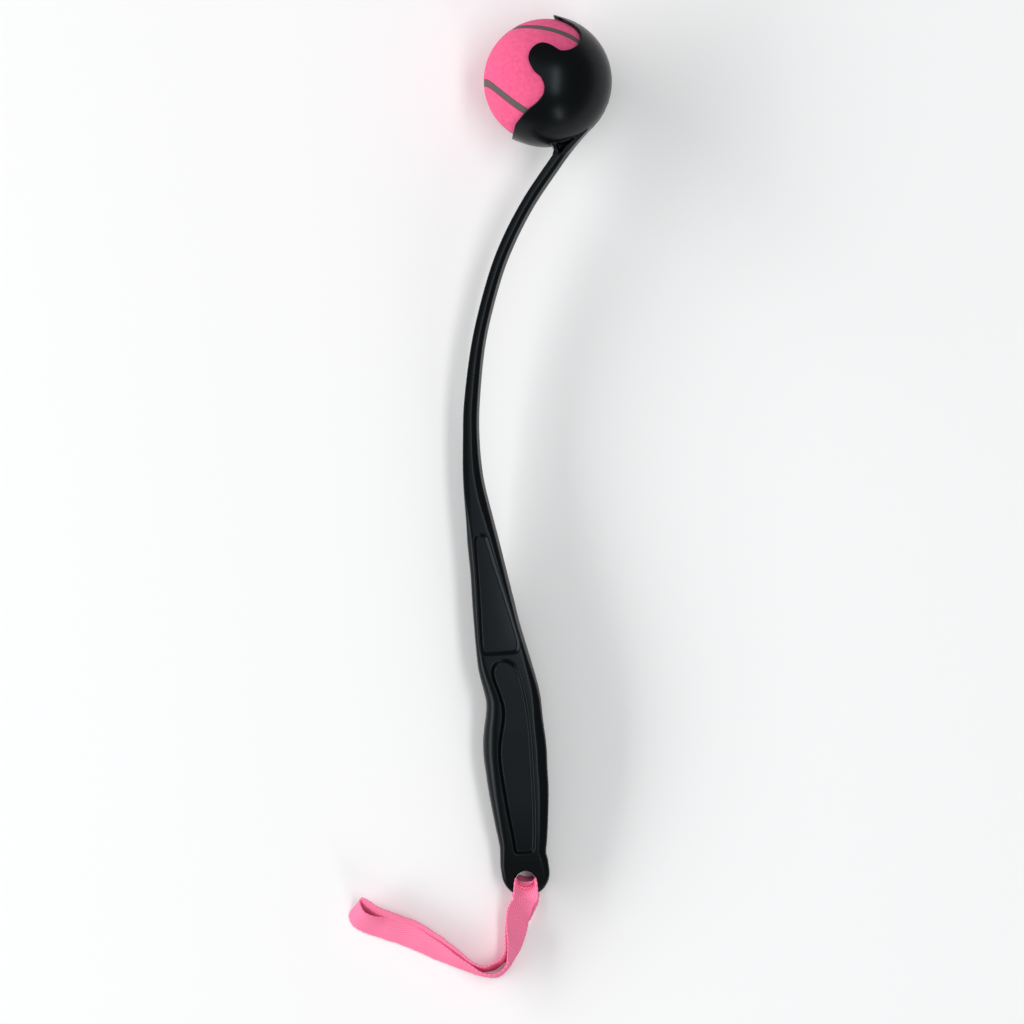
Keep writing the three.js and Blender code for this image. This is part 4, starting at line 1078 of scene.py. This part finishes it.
def tape_material():
    made, tree, shader = new_material("pink tape", Roughness=0.85)
    shader.inputs["Specular IOR Level"].default_value = 0.2
    shader.inputs["Sheen Weight"].default_value = 0.06
    shader.inputs["Sheen Roughness"].default_value = 0.5
    shader.inputs["Sheen Tint"].default_value = (1, 0.6, 0.75, 1)
    uv = node(tree, "ShaderNodeUVMap", uv_map="UVMap").outputs["UV"]
    apart = node(tree, "ShaderNodeSeparateXYZ", {"Vector": uv})
    out = node(tree, "ShaderNodeMath", {0: apart.outputs["Y"]}, operation="ABSOLUTE")
    slant = node(tree, "ShaderNodeMath", {0: out.outputs[0], 1: TWILL_SLANT}, operation="MULTIPLY")
    run = node(tree, "ShaderNodeMath", {0: apart.outputs["X"], 1: slant.outputs[0]}, operation="ADD")
    turns = node(
        tree, "ShaderNodeMath", {0: run.outputs[0], 1: 2 * math.pi / TWILL_PITCH},
        operation="MULTIPLY",
    )
    rib = node(tree, "ShaderNodeMath", {0: turns.outputs[0]}, operation="SINE")
    rise = node(tree, "ShaderNodeMapRange", {"Value": rib.outputs[0], "From Min": -1, "From Max": 1})
    grain = node(tree, "ShaderNodeTexNoise", {"Vector": uv, "Scale": 1800, "Detail": 4})
    colour = node(tree, "ShaderNodeValToRGB", {"Fac": rise.outputs["Result"]})
    colour.color_ramp.elements[0].color = (0.93, 0.16, 0.3, 1)
    colour.color_ramp.elements[1].color = (1, 0.27, 0.47, 1)
    height = node(
        tree, "ShaderNodeMath", {0: rise.outputs["Result"], 1: grain.outputs["Fac"]}, operation="ADD",
    )
    bump = node(tree, "ShaderNodeBump", {
        "Height": height.outputs[0], "Strength": 0.7, "Distance": 0.00025,
    })
    tree.links.new(colour.outputs["Color"], shader.inputs["Base Color"])
    tree.links.new(bump.outputs["Normal"], shader.inputs["Normal"])
    return made


def thread_material():
    made, tree, shader = new_material("pink thread", Roughness=0.8)
    where = node(tree, "ShaderNodeTexCoord").outputs["Object"]
    twist = node(tree, "ShaderNodeTexWave", {"Vector": where, "Scale": 900, "Distortion": 1})
    colour = node(tree, "ShaderNodeValToRGB", {"Fac": twist.outputs["Fac"]})
    colour.color_ramp.elements[0].color = (0.82, 0.17, 0.3, 1)
    colour.color_ramp.elements[1].color = (0.95, 0.25, 0.42, 1)
    bump = node(tree, "ShaderNodeBump", {
        "Height": twist.outputs["Fac"], "Strength": 0.5, "Distance": 0.0002,
    })
    tree.links.new(colour.outputs["Color"], shader.inputs["Base Color"])
    tree.links.new(bump.outputs["Normal"], shader.inputs["Normal"])
    return made


# Floor, world and lamps
LAMP_DISTANCE = 3.0
SKY_LOW = 0.32
SKY_TOP = 1.2


def set_stage():
    floor = primitive(bpy.ops.mesh.primitive_plane_add, "floor", size=12)
    made, tree, shader = new_material("white floor", Roughness=0.9)
    shader.inputs["Base Color"].default_value = (0.95, 0.95, 0.95, 1)
    shader.inputs["Specular IOR Level"].default_value = 0
    floor.data.materials.append(made)

    # The sky is brightest straight above, like a wide soft box over the table
    world = bpy.data.worlds.new("studio")
    world.use_nodes = True
    tree = world.node_tree
    way = node(tree, "ShaderNodeTexCoord").outputs["Generated"]
    height = node(tree, "ShaderNodeSeparateXYZ", {"Vector": way}).outputs["Z"]
    above = node(tree, "ShaderNodeMapRange", {
        "Value": height, "From Min": 0.92, "From Max": 0.985, "To Min": SKY_LOW, "To Max": SKY_TOP,
    }, interpolation_type="SMOOTHSTEP")
    background = tree.nodes["Background"]
    background.inputs["Color"].default_value = (0.97, 0.985, 1, 1)
    tree.links.new(above.outputs["Result"], background.inputs["Strength"])
    bpy.context.scene.world = world


def add_lamp(name, toward, half_degrees, radiance, long_side=(0, 1, 0), colour=(1, 1, 1)):
    """A soft box over the thrower: the way to it, half of the angles that it fills, and how
    bright its face is. Its second angle lies along its long side."""
    out = Vector(toward).normalized()
    up = (Vector(long_side) - out * out.dot(Vector(long_side))).normalized()
    bpy.ops.object.light_add(type="AREA")
    lamp = bpy.context.object
    lamp.name = name
    lamp.matrix_world = Matrix.Translation(out * LAMP_DISTANCE) @ (
        Matrix((up.cross(out), up, out)).transposed().to_4x4()
    )
    lamp.data.shape = "RECTANGLE"
    wide, tall = (2 * LAMP_DISTANCE * math.tan(math.radians(half)) for half in half_degrees)
    lamp.data.size, lamp.data.size_y = wide, tall
    lamp.data.energy = math.pi * wide * tall * radiance
    lamp.data.color = colour
    return lamp


set_camera()
PLASTIC = plastic_material()
FELT = felt_material()
SEAM_RUBBER = rubber_material("seam rubber", (0.09, 0.072, 0.076), (0.135, 0.107, 0.112))
CORE_RUBBER = rubber_material("core rubber", (0.02, 0.02, 0.021), (0.05, 0.048, 0.05))
TAPE = tape_material()
THREAD = thread_material()

make_launcher(PLASTIC)
make_panel("first_felt_panel", 1, FELT)
make_panel("second_felt_panel", -1, FELT)
make_seam(SEAM_RUBBER)
strap = make_strap(TAPE)
for name, finish, slot in (
    ("ball_core_upper", CORE_RUBBER, "core_rubber"),
    ("ball_core_lower", CORE_RUBBER, "core_rubber"),
    ("strap_stitching", THREAD, "strap_thread"),
):
    core = frame["nodes"][name]
    core.data.materials.clear()
    core.data.materials.append(finish)

set_stage()
add_lamp("key", (0.3, -0.02, 0.95), (4.2, 22), 8)
add_lamp("front", (0.36, -0.85, 0.394), (3, 12), 8, long_side=(0, 0, 1))
add_lamp("left", (-0.92, 0.05, 0.38), (11, 38), 5.8)
